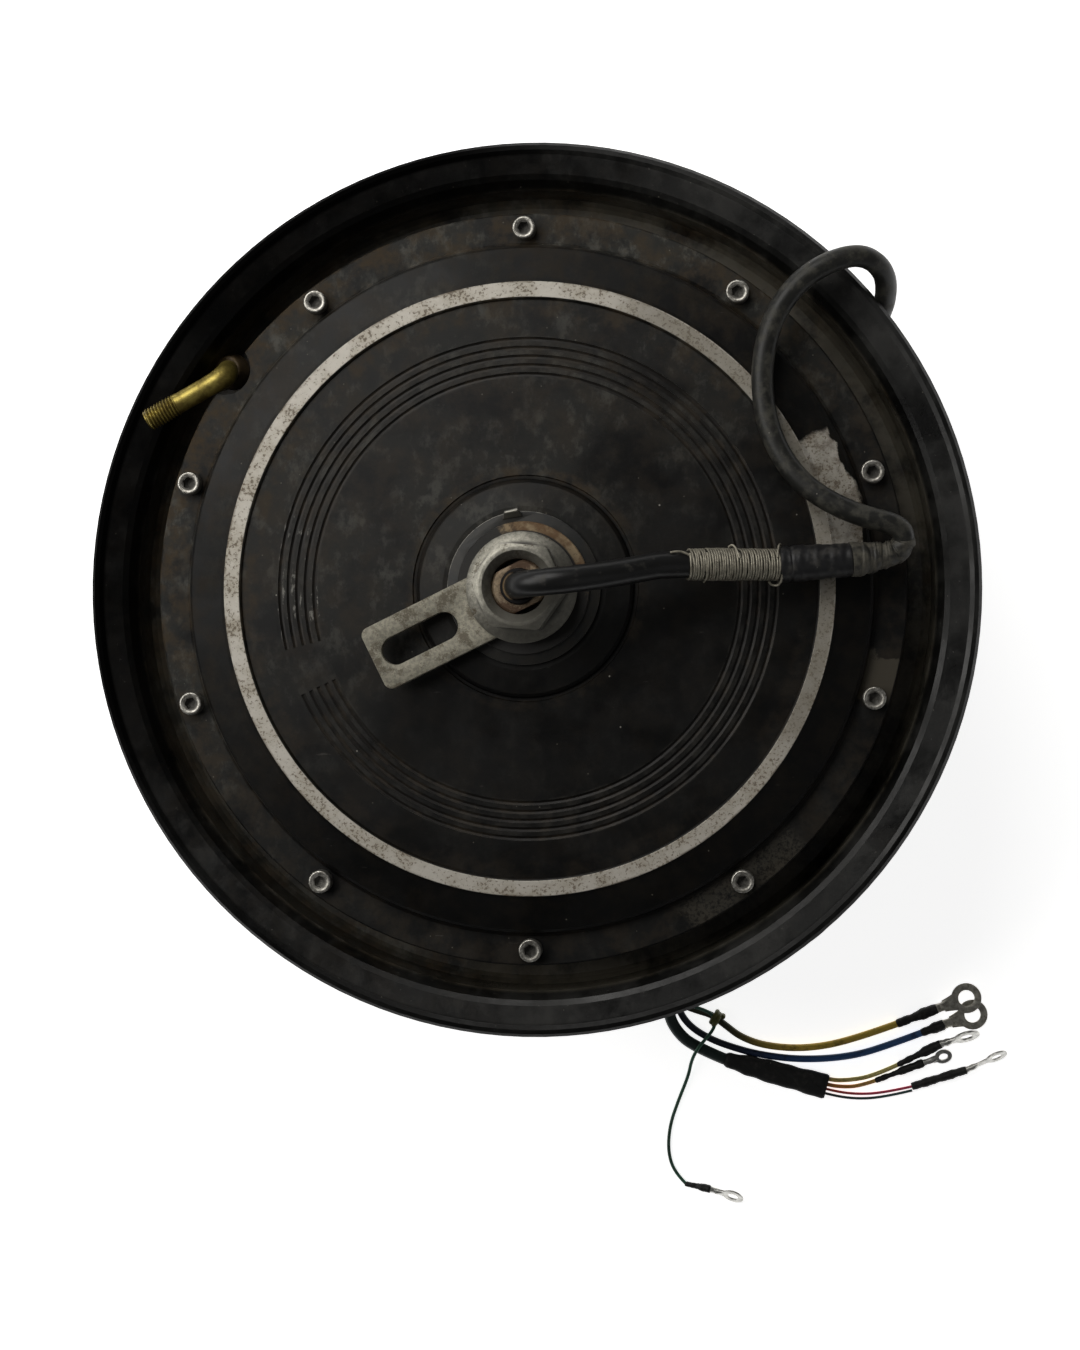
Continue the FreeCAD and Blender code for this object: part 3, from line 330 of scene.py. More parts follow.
def cover_paint(name, cable_side):
    """A motor cover: black paint with a bare turned ring, dirt on its flange, dirt and painted shade in
    its grooves with painted highlights on their crests, a painted shade line round the boss, and dust
    partly standing in for light from the upper left.
    """
    look = Shader(name)
    radius, angle, height = look.radius_and_angle()
    flange = look.step(radius, STEP_R - 0.0005, STEP_R + 0.0010)
    upper_left = look.toward(122.0, 47.0, 117.0)
    dust_share = look.value(flange, 0.55, 0.95)
    # dust is heavier toward the upper left: partly real dust, partly painted light standing in for light
    # from the upper left
    dust_share = look.both(dust_share, look.value(upper_left, 0.10, 1.0))
    # the shoulder keeps its dust only on the upper left and is darker elsewhere: partly painted shade
    shoulder = look.band(radius, RING_OUT, STEP_R - 0.0003, 0.0006)
    turned_up = look.band(angle, 112.0, 152.0, 22.0)
    shoulder_share = look.both(shoulder, look.value(turned_up, 1.0, 0.35))
    dust_share = look.both(dust_share, look.value(shoulder_share, 1.0, 0.22))
    inner = look.step(radius, 0.060, 0.052)
    dirt_share = look.value(inner, look.value(flange, 0.26, 0.75), 0.15)
    beside_ring = look.band(radius, 0.1015, RING_IN, 0.0035)
    dirt_share = look.either(dirt_share, look.both(beside_ring, 0.60))
    rim_side = look.both(look.band(radius, 0.1335, 0.1395, 0.003), look.toward(150.0, 33.0, 65.0))
    dirt_share = look.either(dirt_share, rim_side)
    round_boss = look.band(radius, BOSS_R - 0.0004, BOSS_R + 0.0035, 0.0030)
    dirt_share = look.either(dirt_share, look.both(round_boss, 0.70))
    dirt_share = look.both(dirt_share, look.value(upper_left, 0.30, 1.0))
    colour, roughness, normal, fine, smear = painted(look, dirt_share, dust_share)
    # painted shade: a dark line over the groove round the boss
    boss_groove_shade = look.band(radius, BOSS_R - 0.0012, BOSS_R + 0.0004, 0.0010)
    colour = look.tint(colour, (0.0016, 0.0015, 0.0014), boss_groove_shade, 0.7)

    # dirt and painted shade in the turned grooves, and paint worn light with a painted highlight on the
    # crests between them
    slope = (DISC_OUTER[1] - DISC_INNER[1]) / (DISC_OUTER[0] - DISC_INNER[0])
    disc = look.maths("ADD", look.maths("MULTIPLY", radius, slope),
            DISC_INNER[1] - slope * DISC_INNER[0])
    grooved = look.band(radius, GROOVES[0], GROOVES[1], 0.0006)
    if cable_side:
        depth = look.maths("SUBTRACT", disc, height)
        dirt_and_painted_light = look.both(grooved, look.step(depth, 0.00010, 0.00045))
        colour = look.tint(colour, (0.0060, 0.0046, 0.0034), dirt_and_painted_light, 0.85)
        floor_dirt = look.both(dirt_and_painted_light, look.step(smear, 0.46, 0.60), 0.55)
        colour = look.tint(colour, (0.034, 0.026, 0.017), floor_dirt)
        crest_top = look.both(grooved, look.step(depth, 0.00009, 0.0))
        streak = look.noise(0.006, 4, 0.6, shift=21.0)
        crest_wear_and_highlight = look.both(crest_top, look.step(streak, 0.40, 0.66), 0.30)
        colour = look.tint(colour, (0.050, 0.046, 0.040), crest_wear_and_highlight)
        left = look.either(look.step(angle, 158.0, 166.0), look.step(angle, -166.0, -172.0))
        fleck = look.noise(0.0022, 5, 0.7, stretch=(1.0, 0.35, 1.0), shift=31.0)
        flecks = look.both(crest_top, left, look.step(fleck, 0.57, 0.63))
        colour = look.tint(colour, (0.30, 0.29, 0.26), flecks, 0.55)

    # scuffed grey patches on the flange, lower right
    jagged = look.ragged(angle, smear, 9.0)
    scuff_a = look.both(look.band(jagged, -17.5, -11.0, 0.8), look.band(radius, 0.1275, 0.1380, 0.0008))
    scuff_b = look.both(look.band(jagged, -63.0, -44.0, 2.5), look.band(radius, 0.1285, 0.1380, 0.0015))
    scuff_b = look.both(scuff_b, look.step(fine, 0.36, 0.56))
    colour = look.tint(colour, (0.080, 0.070, 0.052), scuff_a, 0.62)
    colour = look.tint(colour, (0.060, 0.054, 0.042), scuff_b, 0.50)

    # bare turned ring, and a patch where the paint has come off the shoulder
    pits = look.noise(0.0012, 6, 0.72, shift=5.0)
    stain = look.noise(0.011, 5, 0.65, shift=14.0)
    metal = look.mix(look.step(stain, 0.35, 0.70), BARE_ALUMINIUM, (0.42, 0.385, 0.32))
    pitted = look.step(look.maths("ADD", pits, look.maths("MULTIPLY", stain, 0.40)), 0.740, 0.800)
    metal = look.tint(metal, PIT_BROWN, pitted, 0.85)
    dull = look.both(look.band(angle, -24.0, 64.0, 14.0),
            look.step(radius, RING_OUT, RING_OUT - 0.0004))
    metal = look.tint(metal, (0.16, 0.145, 0.115), dull, 0.55)
    grimy_rim = look.both(look.step(radius, RING_OUT - 0.0007, RING_OUT), look.step(smear, 0.44, 0.58))
    metal = look.tint(metal, PIT_BROWN, grimy_rim, 0.6)
    ring = look.band(radius, RING_IN, RING_OUT, 0.00025)
    edge_noise = look.maths("MULTIPLY", look.maths("SUBTRACT", smear, 0.5), 0.014)
    slow = look.noise(0.013, 2, 0.45, shift=41.0)
    edge_noise = look.maths("ADD", look.maths("MULTIPLY", edge_noise, 0.3),
                              look.maths("MULTIPLY", look.maths("SUBTRACT", slow, 0.5), 0.010))
    wavy = look.maths("ADD", radius, edge_noise)
    sharp = look.maths("ADD", angle, look.maths("MULTIPLY", edge_noise, 500.0))
    patch = look.both(look.band(sharp, 4.0, 27.5, 1.0),
            look.band(wavy, RING_OUT - 0.002, 0.1245, 0.0006))
    bare = look.either(ring, patch) if cable_side else ring
    colour = look.tint(colour, metal, bare)
    roughness = look.value(bare, roughness, look.value(pits, 0.42, 0.70))
    metallic = look.both(bare, look.value(pitted, 0.75, 0.1))
    turned = look.wave(700.0, 0.4, wave_type="RINGS", rings_direction="Z")
    marks = look.both(turned.outputs["Fac"], bare)
    normal = look.relief(look.maths("ADD", marks, pits), 0.00003, 0.5, normal)
    specular = look.value(shoulder_share, 0.22, 0.13)
    return look.finish(colour, roughness, metallic, normal, Specular_IOR_Level=specular)


def rim_paint(name):
    """The rim: black paint, dirt in the valley beside the drum, worn bright along the lip; grey dust with
    painted light in the valley, a painted reflection on the inner wall, and painted shade on the wall and
    lip toward the upper left.
    """
    look = Shader(name)
    radius, angle, _ = look.radius_and_angle()
    left_side = look.toward(172.0, 78.0, 110.0)
    top_side = look.band(angle, 40.0, 110.0, 30.0)
    valley = look.band(radius, 0.1395, 0.1490, 0.0018)
    dirt_share = look.both(valley, look.value(look.either(left_side, top_side), 0.50, 1.0))
    wall = look.both(look.band(radius, 0.1500, 0.1610, 0.002), left_side)
    dirt_share = look.either(dirt_share, look.both(wall, 0.12))
    dust_share = look.value(valley, 0.14, 0.90)
    colour, roughness, normal, _, _ = painted(look, dirt_share, dust_share, gloss=0.27)
    grey = look.noise(0.020, 6, 0.65, stretch=(1.0, 1.0, 0.6), shift=12.0)
    # grey dust in the valley, stronger away from the left: dust, with painted light where the valley lies
    # in the rim's shadow
    dirt_and_painted_light = look.both(valley, look.step(grey, 0.36, 0.60))
    dirt_and_painted_light = look.both(dirt_and_painted_light, look.value(left_side, 1.0, 0.30))
    colour = look.tint(colour, GREY_DIRT_AND_LIGHT, dirt_and_painted_light, 0.75)
    # painted reflection: a lighter mottled band on the inner wall, strong away from the left and faint on
    # it
    wall_reflection = look.both(look.band(radius, 0.1500, 0.1630, 0.001), look.step(grey, 0.46, 0.62))
    colour = look.tint(colour, (0.040, 0.039, 0.036), wall_reflection, look.value(left_side, 0.40, 0.05))
    scratch = look.noise(0.0030, 6, 0.7, stretch=(1.0, 1.0, 4.0), shift=6.0)
    lip = look.step(radius, LIP_R - 0.0014, LIP_R - 0.0007)
    worn = look.both(lip, look.step(scratch, 0.50, 0.62))
    colour = look.tint(colour, (0.10, 0.096, 0.088), worn, 0.45)
    chips = look.both(look.step(scratch, 0.66, 0.70), look.step(radius, 0.148, 0.150))
    colour = look.tint(colour, (0.14, 0.13, 0.12), chips, 0.5)
    normal = look.relief(grey, 0.0004, 0.35, normal)
    # painted shade: the wall and lip are painted near black on the upper left, and the lip is darkened
    # everywhere except on the upper right; the specular is cut with it
    rim_shaded_side = look.toward(148.0, 44.0, 74.0)
    lip_lit_side = look.toward(30.0, 40.0, 80.0)
    on_lip = look.step(radius, 0.1605, 0.1620)
    wall_unshaded = look.value(rim_shaded_side, 0.85, 0.25)
    lip_unshaded = look.both(look.value(lip_lit_side, 0.40, 1.0), look.value(rim_shaded_side, 1.0, 0.06))
    unshaded = look.value(on_lip, wall_unshaded, lip_unshaded)
    unshaded = look.value(look.step(radius, 0.1485, 0.1500), 1.0, unshaded)
    colour = look.mix(unshaded, (0.0008, 0.0008, 0.0008), colour)
    return look.finish(colour, roughness, 0.0, normal, Specular_IOR_Level=look.both(unshaded, 0.36))


def steel(name, colour, stain_colour, stain_from, rough=(0.35, 0.6), metallic=0.85, grain=0.0011,
        depth=0.00004,
          lit_side=None):
    """Plated or bare steel with stains, fine pits and a mottled sheen.

    stain_from is 0 for stains all over and 1 for none. The last argument is the angle round the axle
    toward the light; the side away from it is painted darker, a painted shade.
    """
    look = Shader(name)
    mottle = look.noise(grain * 3, 6, 0.7)
    fine = look.noise(grain, 5, 0.65, shift=4.0)
    cloud = look.noise(grain * 9, 4, 0.6, shift=8.0)
    darker = tuple(c * 0.62 for c in colour)
    base = look.mix(look.step(mottle, 0.38, 0.62), darker, colour)
    stained = look.step(look.maths("ADD", look.both(cloud, 0.65), look.both(fine, 0.35)), stain_from,
                          stain_from + 0.10)
    base = look.tint(base, stain_colour, stained)
    pits = look.step(fine, 0.64, 0.70)
    base = look.tint(base, tuple(c * 0.25 for c in stain_colour), pits, 0.7)
    roughness = look.value(stained, look.value(mottle, rough[0], rough[1]), 0.8)
    shine = look.value(look.either(stained, pits), metallic, metallic * 0.35)
    # grime and painted shade that the mesh carries, as in the nut's crease and mouth
    grime = look.grime()
    base = look.tint(base, (0.022, 0.017, 0.011), grime, 0.90)
    # painted shade: darker, mottled, on the side away from the light
    if lit_side is not None:
        shaded_away = look.both(look.toward(lit_side + 180.0, 60.0, 125.0), look.value(cloud, 0.55, 1.0))
        base = look.tint(base, tuple(c * 0.35 for c in colour), shaded_away)
    shine = look.value(grime, shine, 0.1)
    normal = look.relief(look.maths("ADD", fine, look.both(mottle, 1.5)), depth, 0.7)
    return look.finish(base, roughness, shine, normal)


def spacer_steel(name):
    """The spacer's head: tan, worn and rusty on the upper right, near black on the other sides."""
    look = Shader(name)
    radius, angle, _ = look.radius_and_angle()
    fine = look.noise(0.0009, 5, 0.65)
    cloud = look.noise(0.006, 5, 0.65, shift=8.0)
    worn = look.mix(look.step(cloud, 0.38, 0.60), (0.28, 0.21, 0.125), (0.14, 0.082, 0.040))
    worn = look.tint(worn, (0.05, 0.035, 0.02), look.step(fine, 0.58, 0.68), 0.6)
    ragged = look.ragged(angle, cloud, 60.0)
    # the tan shows only on the upper right; the other sides are near black
    clean = look.both(look.band(ragged, 5.0, 98.0, 14.0), look.step(radius, 0.0206, 0.0212))
    base = look.mix(clean, (0.010, 0.0088, 0.0072), worn)
    normal = look.relief(fine, 0.00005, 0.7)
    return look.finish(base, look.value(fine, 0.45, 0.75), look.both(clean, 0.45), normal)


def washer_steel(name):
    """Blackened tab washer, worn bright along its outer edge and on the bent tab; the edge is brighter
    toward the upper left, a painted highlight.
    """
    look = Shader(name)
    radius, _, height = look.radius_and_angle()
    fine = look.noise(0.0009, 5, 0.65)
    cloud = look.noise(0.007, 5, 0.65, shift=8.0)
    edge = look.both(look.step(radius, 0.02775, 0.02790), look.step(cloud, 0.38, 0.56))
    # painted highlight: the bright edge is much stronger toward the upper left, where the light comes
    # from
    edge = look.both(edge, look.value(look.toward(132.0, 48.0, 75.0), 0.08, 0.6))
    tab = look.both(look.step(height, 0.12485, 0.1252), look.value(cloud, 0.15, 0.75))
    tab_top = look.step(height, 0.12725, 0.12750)
    rubbed_and_lit = look.either(edge, look.either(look.both(tab, 0.5), tab_top))
    base = look.mix(look.both(look.step(cloud, 0.4, 0.6), 0.6), (0.010, 0.0105, 0.010),
            (0.022, 0.019, 0.014))
    base = look.tint(base, (0.34, 0.33, 0.29), rubbed_and_lit)
    return look.finish(base, look.value(fine, 0.38, 0.58), look.value(rubbed_and_lit, 0.2, 0.8),
                         look.relief(fine, 0.00004, 0.6))


def bush(name):
    """Rubber bush: black, with a tan inner lip beside the cable on its left side only."""
    look = Shader(name)
    radius, angle, _ = look.radius_and_angle()
    fine = look.noise(0.0008, 5, 0.65)
    left = look.either(look.step(angle, 105.0, 135.0), look.step(angle, -105.0, -135.0))
    lip = look.both(look.step(radius, 0.0057, 0.0052), left)
    base = look.mix(look.both(lip, look.value(fine, 0.5, 1.0)), (0.0055, 0.0045, 0.0045),
            (0.24, 0.165, 0.085))
    return look.finish(base, 0.6, 0.0, look.relief(fine, 0.00005, 0.6), Specular_IOR_Level=0.2)


def socket_screw(name):
    """Plated cap screw with grime and painted shade in its socket and painted shade on the head's side;
    the grime attribute marks them.
    """
    look = Shader(name)
    mottle = look.noise(0.0012, 5, 0.7)
    fine = look.noise(0.0006, 5, 0.65, shift=4.0)
    base = look.mix(look.step(mottle, 0.40, 0.62), (0.26, 0.248, 0.220), (0.58, 0.56, 0.51))
    base = look.tint(base, (0.10, 0.08, 0.055), look.step(fine, 0.60, 0.68), 0.7)
    grime = look.grime()
    grimy_and_shaded = look.both(grime, look.value(mottle, 0.75, 1.0))
    base = look.tint(base, (0.012, 0.010, 0.007), grimy_and_shaded)
    return look.finish(base, look.value(grimy_and_shaded, 0.34, 0.8), look.value(grimy_and_shaded, 0.9, 0.1),
                         look.relief(fine, 0.00003, 0.6))


def rubber(name, colour, dust_colour, dust_from, rough=(0.42, 0.75), depth=0.00006, size=0.0020):
    """Cable jacket, shrink sleeve or bush: dark rubber with dust and handling marks."""
    look = Shader(name)
    fine = look.noise(size * 0.35, 5, 0.65)
    marks = look.noise(size * 2.5, 6, 0.65, shift=7.0)
    dusty = look.step(marks, dust_from, dust_from + 0.22)
    dusty = look.both(dusty, look.value(fine, 0.25, 1.0))
    base = look.mix(dusty, colour, dust_colour)
    base = look.tint(base, (0.30, 0.28, 0.25), look.specks(0.006, 0.05, 2.0), 0.6)
    roughness = look.value(dusty, rough[0], rough[1])
    normal = look.relief(fine, depth, 0.5)
    return look.finish(base, roughness, 0.0, normal, Specular_IOR_Level=0.32)


def wire_colour(name, near, far, split, soft, sheen_rough=0.38):
    """Lead insulation, darker near the cable and its own colour further out, the dark part grime, and on
    the yellow lead painted shade as well; split is the x where that changes.
    """
    look = Shader(name)
    parts = look.node("ShaderNodeSeparateXYZ")
    look.feed(parts.inputs[0], look.place)
    clean = look.step(parts.outputs["X"], split - soft, split + soft)
    grime = look.noise(0.004, 5, 0.65)
    fine = look.noise(0.0007, 4, 0.6, shift=3.0)
    base = look.mix(clean, near, far)
    base = look.tint(base, tuple(c * 0.35 for c in near), look.step(grime, 0.50, 0.72), 0.55)
    roughness = look.value(grime, sheen_rough, sheen_rough + 0.25)
    return look.finish(base, roughness, 0.0, look.relief(fine, 0.00003, 0.4))


def brass_valve(name):
    """Tarnished brass, brighter on the straight tube, brown in the thread and inside the mouth."""
    look = Shader(name)
    fine = look.noise(0.0008, 5, 0.65)
    tarnish = look.noise(0.0045, 5, 0.65, shift=2.0)
    base = look.mix(look.step(tarnish, 0.38, 0.66), (0.42, 0.335, 0.085), (0.20, 0.150, 0.038))
    base = look.tint(base, (0.05, 0.036, 0.015), look.step(fine, 0.60, 0.72), 0.6)
    # darker brown in the thread roots and the bore: grime and painted shade
    root_grime_and_shade = look.grime()
    base = look.tint(base, (0.045, 0.028, 0.012), root_grime_and_shade, 0.85)
    roughness = look.value(tarnish, 0.28, 0.60)
    return look.finish(base, roughness, 0.85, look.relief(fine, 0.00003, 0.6))


def copper_winding(name):
    """Varnished copper turns: fine parallel ridges along the coil."""
    look = Shader(name)
    ridges = look.wave(340.0, 1.2, wave_type="RINGS", rings_direction="Z")
    ridges.inputs["Detail"].default_value = 2.0
    varnish = look.noise(0.006, 4, 0.6)
    base = look.mix(ridges.outputs["Fac"], (0.20, 0.065, 0.020), (0.56, 0.22, 0.08))
    base = look.tint(base, (0.22, 0.10, 0.03), look.step(varnish, 0.55, 0.75))
    return look.finish(base, 0.32, 0.7, look.relief(ridges.outputs["Fac"], 0.00025, 0.8))


def laminations(name):
    """Edges of stacked sheets of electrical steel."""
    look = Shader(name)
    sheets = look.wave(640.0, wave_type="BANDS", bands_direction="Z")
    mottle = look.noise(0.004, 5, 0.6)
    base = look.mix(sheets.outputs["Fac"], (0.10, 0.10, 0.105), (0.30, 0.30, 0.31))
    base = look.tint(base, (0.16, 0.10, 0.06), look.step(mottle, 0.55, 0.72))
    return look.finish(base, 0.45, 0.8, look.relief(sheets.outputs["Fac"], 0.0001, 0.6))


def plain_moulding(name, colour, rough, size=0.0015, specular=0.5):
    """Moulded or printed part with a fine texture and slight unevenness of colour."""
    look = Shader(name)
    fine = look.noise(size, 4, 0.6)
    cloud = look.noise(size * 12, 4, 0.6, shift=5.0)
    base = look.mix(look.step(cloud, 0.35, 0.65), tuple(c * 0.78 for c in colour), colour)
    return look.finish(base, look.value(fine, rough, rough + 0.2), 0.0, look.relief(fine, 0.00003, 0.5),
                         Specular_IOR_Level=specular)


MATERIALS = {
    "cable_cover_paint": cover_paint("cable_cover_paint", True),
    "closed_cover_paint": cover_paint("closed_cover_paint", False),
    "rim_paint": rim_paint("rim_paint"),
    "screw_steel": socket_screw("screw_steel"),
    "washer_steel": washer_steel("washer_steel"),
    "rusty_steel": spacer_steel("rusty_steel"),
    "bush_rubber": bush("bush_rubber"),
    "valve_brass": brass_valve("valve_brass"),
    "copper_winding": copper_winding("copper_winding"),
    "laminations": laminations("laminations"),
}
# what steel takes after the name
STEELS = {
    # the nut's last number is the angle toward the light: its other side is painted darker, a painted
    # shade
    "nut_steel": ((0.38, 0.365, 0.31), (0.10, 0.078, 0.048), 0.55, (0.34, 0.55), 0.75, 0.0005, 0.00004,
            135.0),
    "arm_steel": ((0.33, 0.31, 0.245), (0.13, 0.112, 0.080), 0.49, (0.5, 0.75), 0.40, 0.0005, 0.00008),
    "axle_steel": ((0.30, 0.225, 0.145), (0.085, 0.048, 0.026), 0.46, (0.4, 0.65), 0.45, 0.0006),
    "turned_steel": ((0.50, 0.50, 0.49), (0.20, 0.15, 0.11), 0.62, (0.3, 0.5), 0.9),
    "bearing_steel": ((0.72, 0.72, 0.72), (0.40, 0.34, 0.25), 0.68, (0.12, 0.22), 1.0),
    "cage_steel": ((0.42, 0.40, 0.36), (0.24, 0.19, 0.13), 0.60, (0.3, 0.45), 0.9),
    "magnet_plating": ((0.62, 0.60, 0.56), (0.30, 0.25, 0.18), 0.66, (0.2, 0.35), 0.95),
    "carrier_aluminium": ((0.66, 0.66, 0.65), (0.36, 0.34, 0.31), 0.58, (0.4, 0.6), 0.7),
    "lug_tin": ((0.50, 0.48, 0.42), (0.16, 0.14, 0.11), 0.56, (0.3, 0.5), 0.75, 0.0006),
    "bright_tin": ((0.74, 0.73, 0.69), (0.22, 0.20, 0.17), 0.62, (0.22, 0.4), 0.85, 0.0006),
    "binding_wire": ((0.34, 0.315, 0.250), (0.14, 0.122, 0.090), 0.54, (0.38, 0.6), 0.5, 0.0006),
}
# what rubber takes after the name
RUBBERS = {
    "motor_jacket": ((0.0085, 0.0085, 0.0085), (0.062, 0.058, 0.050), 0.55, (0.34, 0.7)),
    "extension_jacket": ((0.015, 0.015, 0.0135), (0.072, 0.068, 0.054), 0.44, (0.40, 0.75)),
    "splice_rubber": ((0.013, 0.013, 0.014), (0.055, 0.052, 0.047), 0.48),
    "splice_tape": ((0.030, 0.029, 0.026), (0.125, 0.115, 0.090), 0.38, (0.45, 0.8)),
    "shrink_rubber": ((0.016, 0.016, 0.016), (0.055, 0.052, 0.047), 0.50, (0.5, 0.8), 0.00006, 0.0012),
    "grommet_rubber": ((0.085, 0.058, 0.030), (0.19, 0.135, 0.075), 0.40),
    "seal_rubber": ((0.020, 0.018, 0.016), (0.07, 0.055, 0.04), 0.50),
}
# what wire_colour takes after the name
WIRE_COLOURS = {
    # the yellow lead's near colour is far darker: grime and painted shade
    "yellow_wire": ((0.030, 0.031, 0.010), (0.72, 0.50, 0.070), 0.086, 0.016),
    "yellow_green_wire": ((0.060, 0.068, 0.012), (0.10, 0.10, 0.018), 0.060, 0.004),
    "blue_wire": ((0.0065, 0.010, 0.026), (0.030, 0.105, 0.30), 0.092, 0.022),
    "pale_wire": ((0.62, 0.42, 0.12), (0.70, 0.60, 0.20), 0.118, 0.008),
    "orange_wire": ((0.60, 0.22, 0.04), (0.66, 0.38, 0.09), 0.122, 0.006),
    "red_wire": ((0.58, 0.07, 0.04), (0.66, 0.05, 0.12), 0.122, 0.010),
    "dark_green_wire": ((0.010, 0.022, 0.020), (0.018, 0.070, 0.068), 0.122, 0.010),
    "green_wire": ((0.016, 0.055, 0.032), (0.026, 0.110, 0.064), 0.049, 0.004),
}
# what plain_moulding takes after the name
PLAIN_MOULDINGS = {
    "white_insulator": ((0.74, 0.72, 0.65), 0.45),
    "circuit_board": ((0.015, 0.11, 0.04), 0.25, 0.0008),
    "sensor_plastic": ((0.022, 0.022, 0.024), 0.4),
    "gasket_paper": ((0.060, 0.052, 0.044), 0.75),
}
for maker, table in ((steel, STEELS), (rubber, RUBBERS), (wire_colour, WIRE_COLOURS),
        (plain_moulding, PLAIN_MOULDINGS)):
    for material_name, values in table.items():
        MATERIALS[material_name] = maker(material_name, *values)


# ---- mesh shorthand ----

replaced_nodes = set()


def add_piece(name, data, body, material, slot, *nodes):
    """Put new data in the scene as a piece that rides on a body and stands for CAD nodes."""
    piece = bpy.data.objects.new(name, data)
    bpy.context.scene.collection.objects.link(piece)
    piece.data.materials.append(MATERIALS[material])
    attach(piece, body)
    if nodes:
        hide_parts(*nodes)
        replaced_nodes.update(nodes)
    return piece


def add_spline(data, points):
    """One smooth line in a curve, through its end points and past the ones between."""
    spline = data.splines.new("NURBS")
    spline.points.add(len(points) - 1)
    for control, place in zip(spline.points, points):
        control.co = (*place, 1.0)
    spline.order_u = 3
    spline.use_endpoint_u = True
    return spline


def nurbs_data(name, points, radius):
    """The smooth curve that a cord's route makes, as a round cord."""
    data = bpy.data.curves.new(name, "CURVE")
    data.dimensions = "3D"
    data.resolution_u = 16
    add_spline(data, points)
    data.bevel_depth = radius
    data.bevel_resolution = 7
    data.use_fill_caps = True
    return data


def spline_line(points):
    """Closely spaced points of the same smooth line, for what is wound or fitted on a cord."""
    data = nurbs_data("line", points, 0.0)
    holder = bpy.data.objects.new("line", data)
    mesh = bpy.data.meshes.new_from_object(holder)
    line = [v.co.copy() for v in mesh.vertices]
    bpy.data.objects.remove(holder)
    bpy.data.meshes.remove(mesh)
    bpy.data.curves.remove(data)
    return line


def distances(line):
    """Distance along a line at each of its points."""
    run = [0.0]
    for a, b in zip(line, line[1:]):
        run.append(run[-1] + (b - a).length)
    return run


def point_at(line, run, s):
    """Point of a line at distance s along it."""
    s = min(max(s, 0.0), run[-1])
    for k in range(1, len(run)):
        if s <= run[k]:
            share = (s - run[k - 1]) / max(run[k] - run[k - 1], 1e-9)
            return line[k - 1].lerp(line[k], share)
    return line[-1].copy()


def resampled(line, step):
    """The line again with evenly spaced points."""
    run = distances(line)
    count = max(2, round(run[-1] / step))
    return [point_at(line, run, run[-1] * k / count) for k in range(count + 1)]


def cross_directions(line):
    """Direction and two cross directions at each point, carried along the line without twist."""
    ways = []
    for k in range(len(line)):
        ahead = line[min(k + 1, len(line) - 1)] - line[max(k - 1, 0)]
        ways.append(ahead.normalized())
    side = UP.cross(ways[0])
    if side.length < 1e-4:
        side = Vector((0, 1, 0))
    side.normalize()
    frames = []
    for way in ways:
        side = (side - way * side.dot(way)).normalized()
        frames.append((way, side, way.cross(side)))
    return frames


def angles(around):
    """Evenly spaced angles of one turn."""
    return [2 * math.pi * k / around for k in range(around)]


def polar(r, a, z=0.0):
    """Point at radius r and angle a round Z."""
    return Vector((r * math.cos(a), r * math.sin(a), z))


def loop_about(middle, side, over, radii):
    """Ring of points about a middle; radii gives one radius for each angle."""
    return [middle + (side * math.cos(a) + over * math.sin(a)) * r for a,
            r in zip(angles(len(radii)), radii)]


def skin(name, rings, hollow=False, sharp_deg=38):
    """Smooth mesh through rings of points, closed by a fan at each end unless it is hollow."""
    count = len(rings[0])
    places = [p for ring in rings for p in ring]
    faces = []
    for row in range(len(rings) - 1):
        for k in range(count):
            after = (k + 1) % count
            faces.append((row * count + k, row * count + after, (row + 1) * count + after,
                    (row + 1) * count + k))
    if hollow:
        last = (len(rings) - 1) * count
        for k in range(count):
            after = (k + 1) % count
            faces.append((last + k, last + after, after, k))
    else:
        for ring, start, turn in ((rings[0], 0, -1), (rings[-1], (len(rings) - 1) * count, 1)):
            middle = len(places)
            places.append(sum(ring, Vector()) / count)
            for k in range(count):
                pair = (start + k, start + (k + 1) % count)
                faces.append((*(pair if turn > 0 else pair[::-1]), middle))
    mesh = bpy.data.meshes.new(name)
    mesh.from_pydata(places, [], faces)
    smoothed(mesh, sharp_deg)
    return mesh


def smoothed(mesh, sharp_deg=38):
    for face in mesh.polygons:
        face.use_smooth = True
    mesh.set_sharp_from_angle(angle=math.radians(sharp_deg))


def tube(name, line, radius_at, around=32):
    """Tube along a line; radius_at(distance, angle) gives its radius, where angle 0 is sideways."""
    run = distances(line)
    rings = []
    for place, s, (_, side, over) in zip(line, run, cross_directions(line)):
        rings.append(loop_about(place, side, over, [radius_at(s, a) for a in angles(around)]))
    return skin(name, rings)


def turned_rings(profile, around, radius_shape=None):
    """Rings about Z for a turned part; profile is (z, radius).

    radius_shape(radius, angle, z) can change the radius, as for a knurled head.
    """
    rings = []
    for z, radius in profile:
        rings.append([polar(radius_shape(radius, a, z) if radius_shape else radius, a,
                z) for a in angles(around)])
    return rings


def joined(name, meshes):
    """One mesh from several."""
    together = bmesh.new()
    for mesh in meshes:
        together.from_mesh(mesh)
        bpy.data.meshes.remove(mesh)
    whole = bpy.data.meshes.new(name)
    together.to_mesh(whole)
    together.free()
    return whole


def wobble(*terms):
    """Sum of sines, as (size, waves, phase), for dents and wrinkles that don't repeat soon."""
    def at(x):
        return sum(size * math.sin(waves * x + phase) for size, waves, phase in terms)
    return at


def smooth_share(x, low, high):
    share = min(max((x - low) / (high - low), 0.0), 1.0)
    return share * share * (3 - 2 * share)


# ---- cords ----

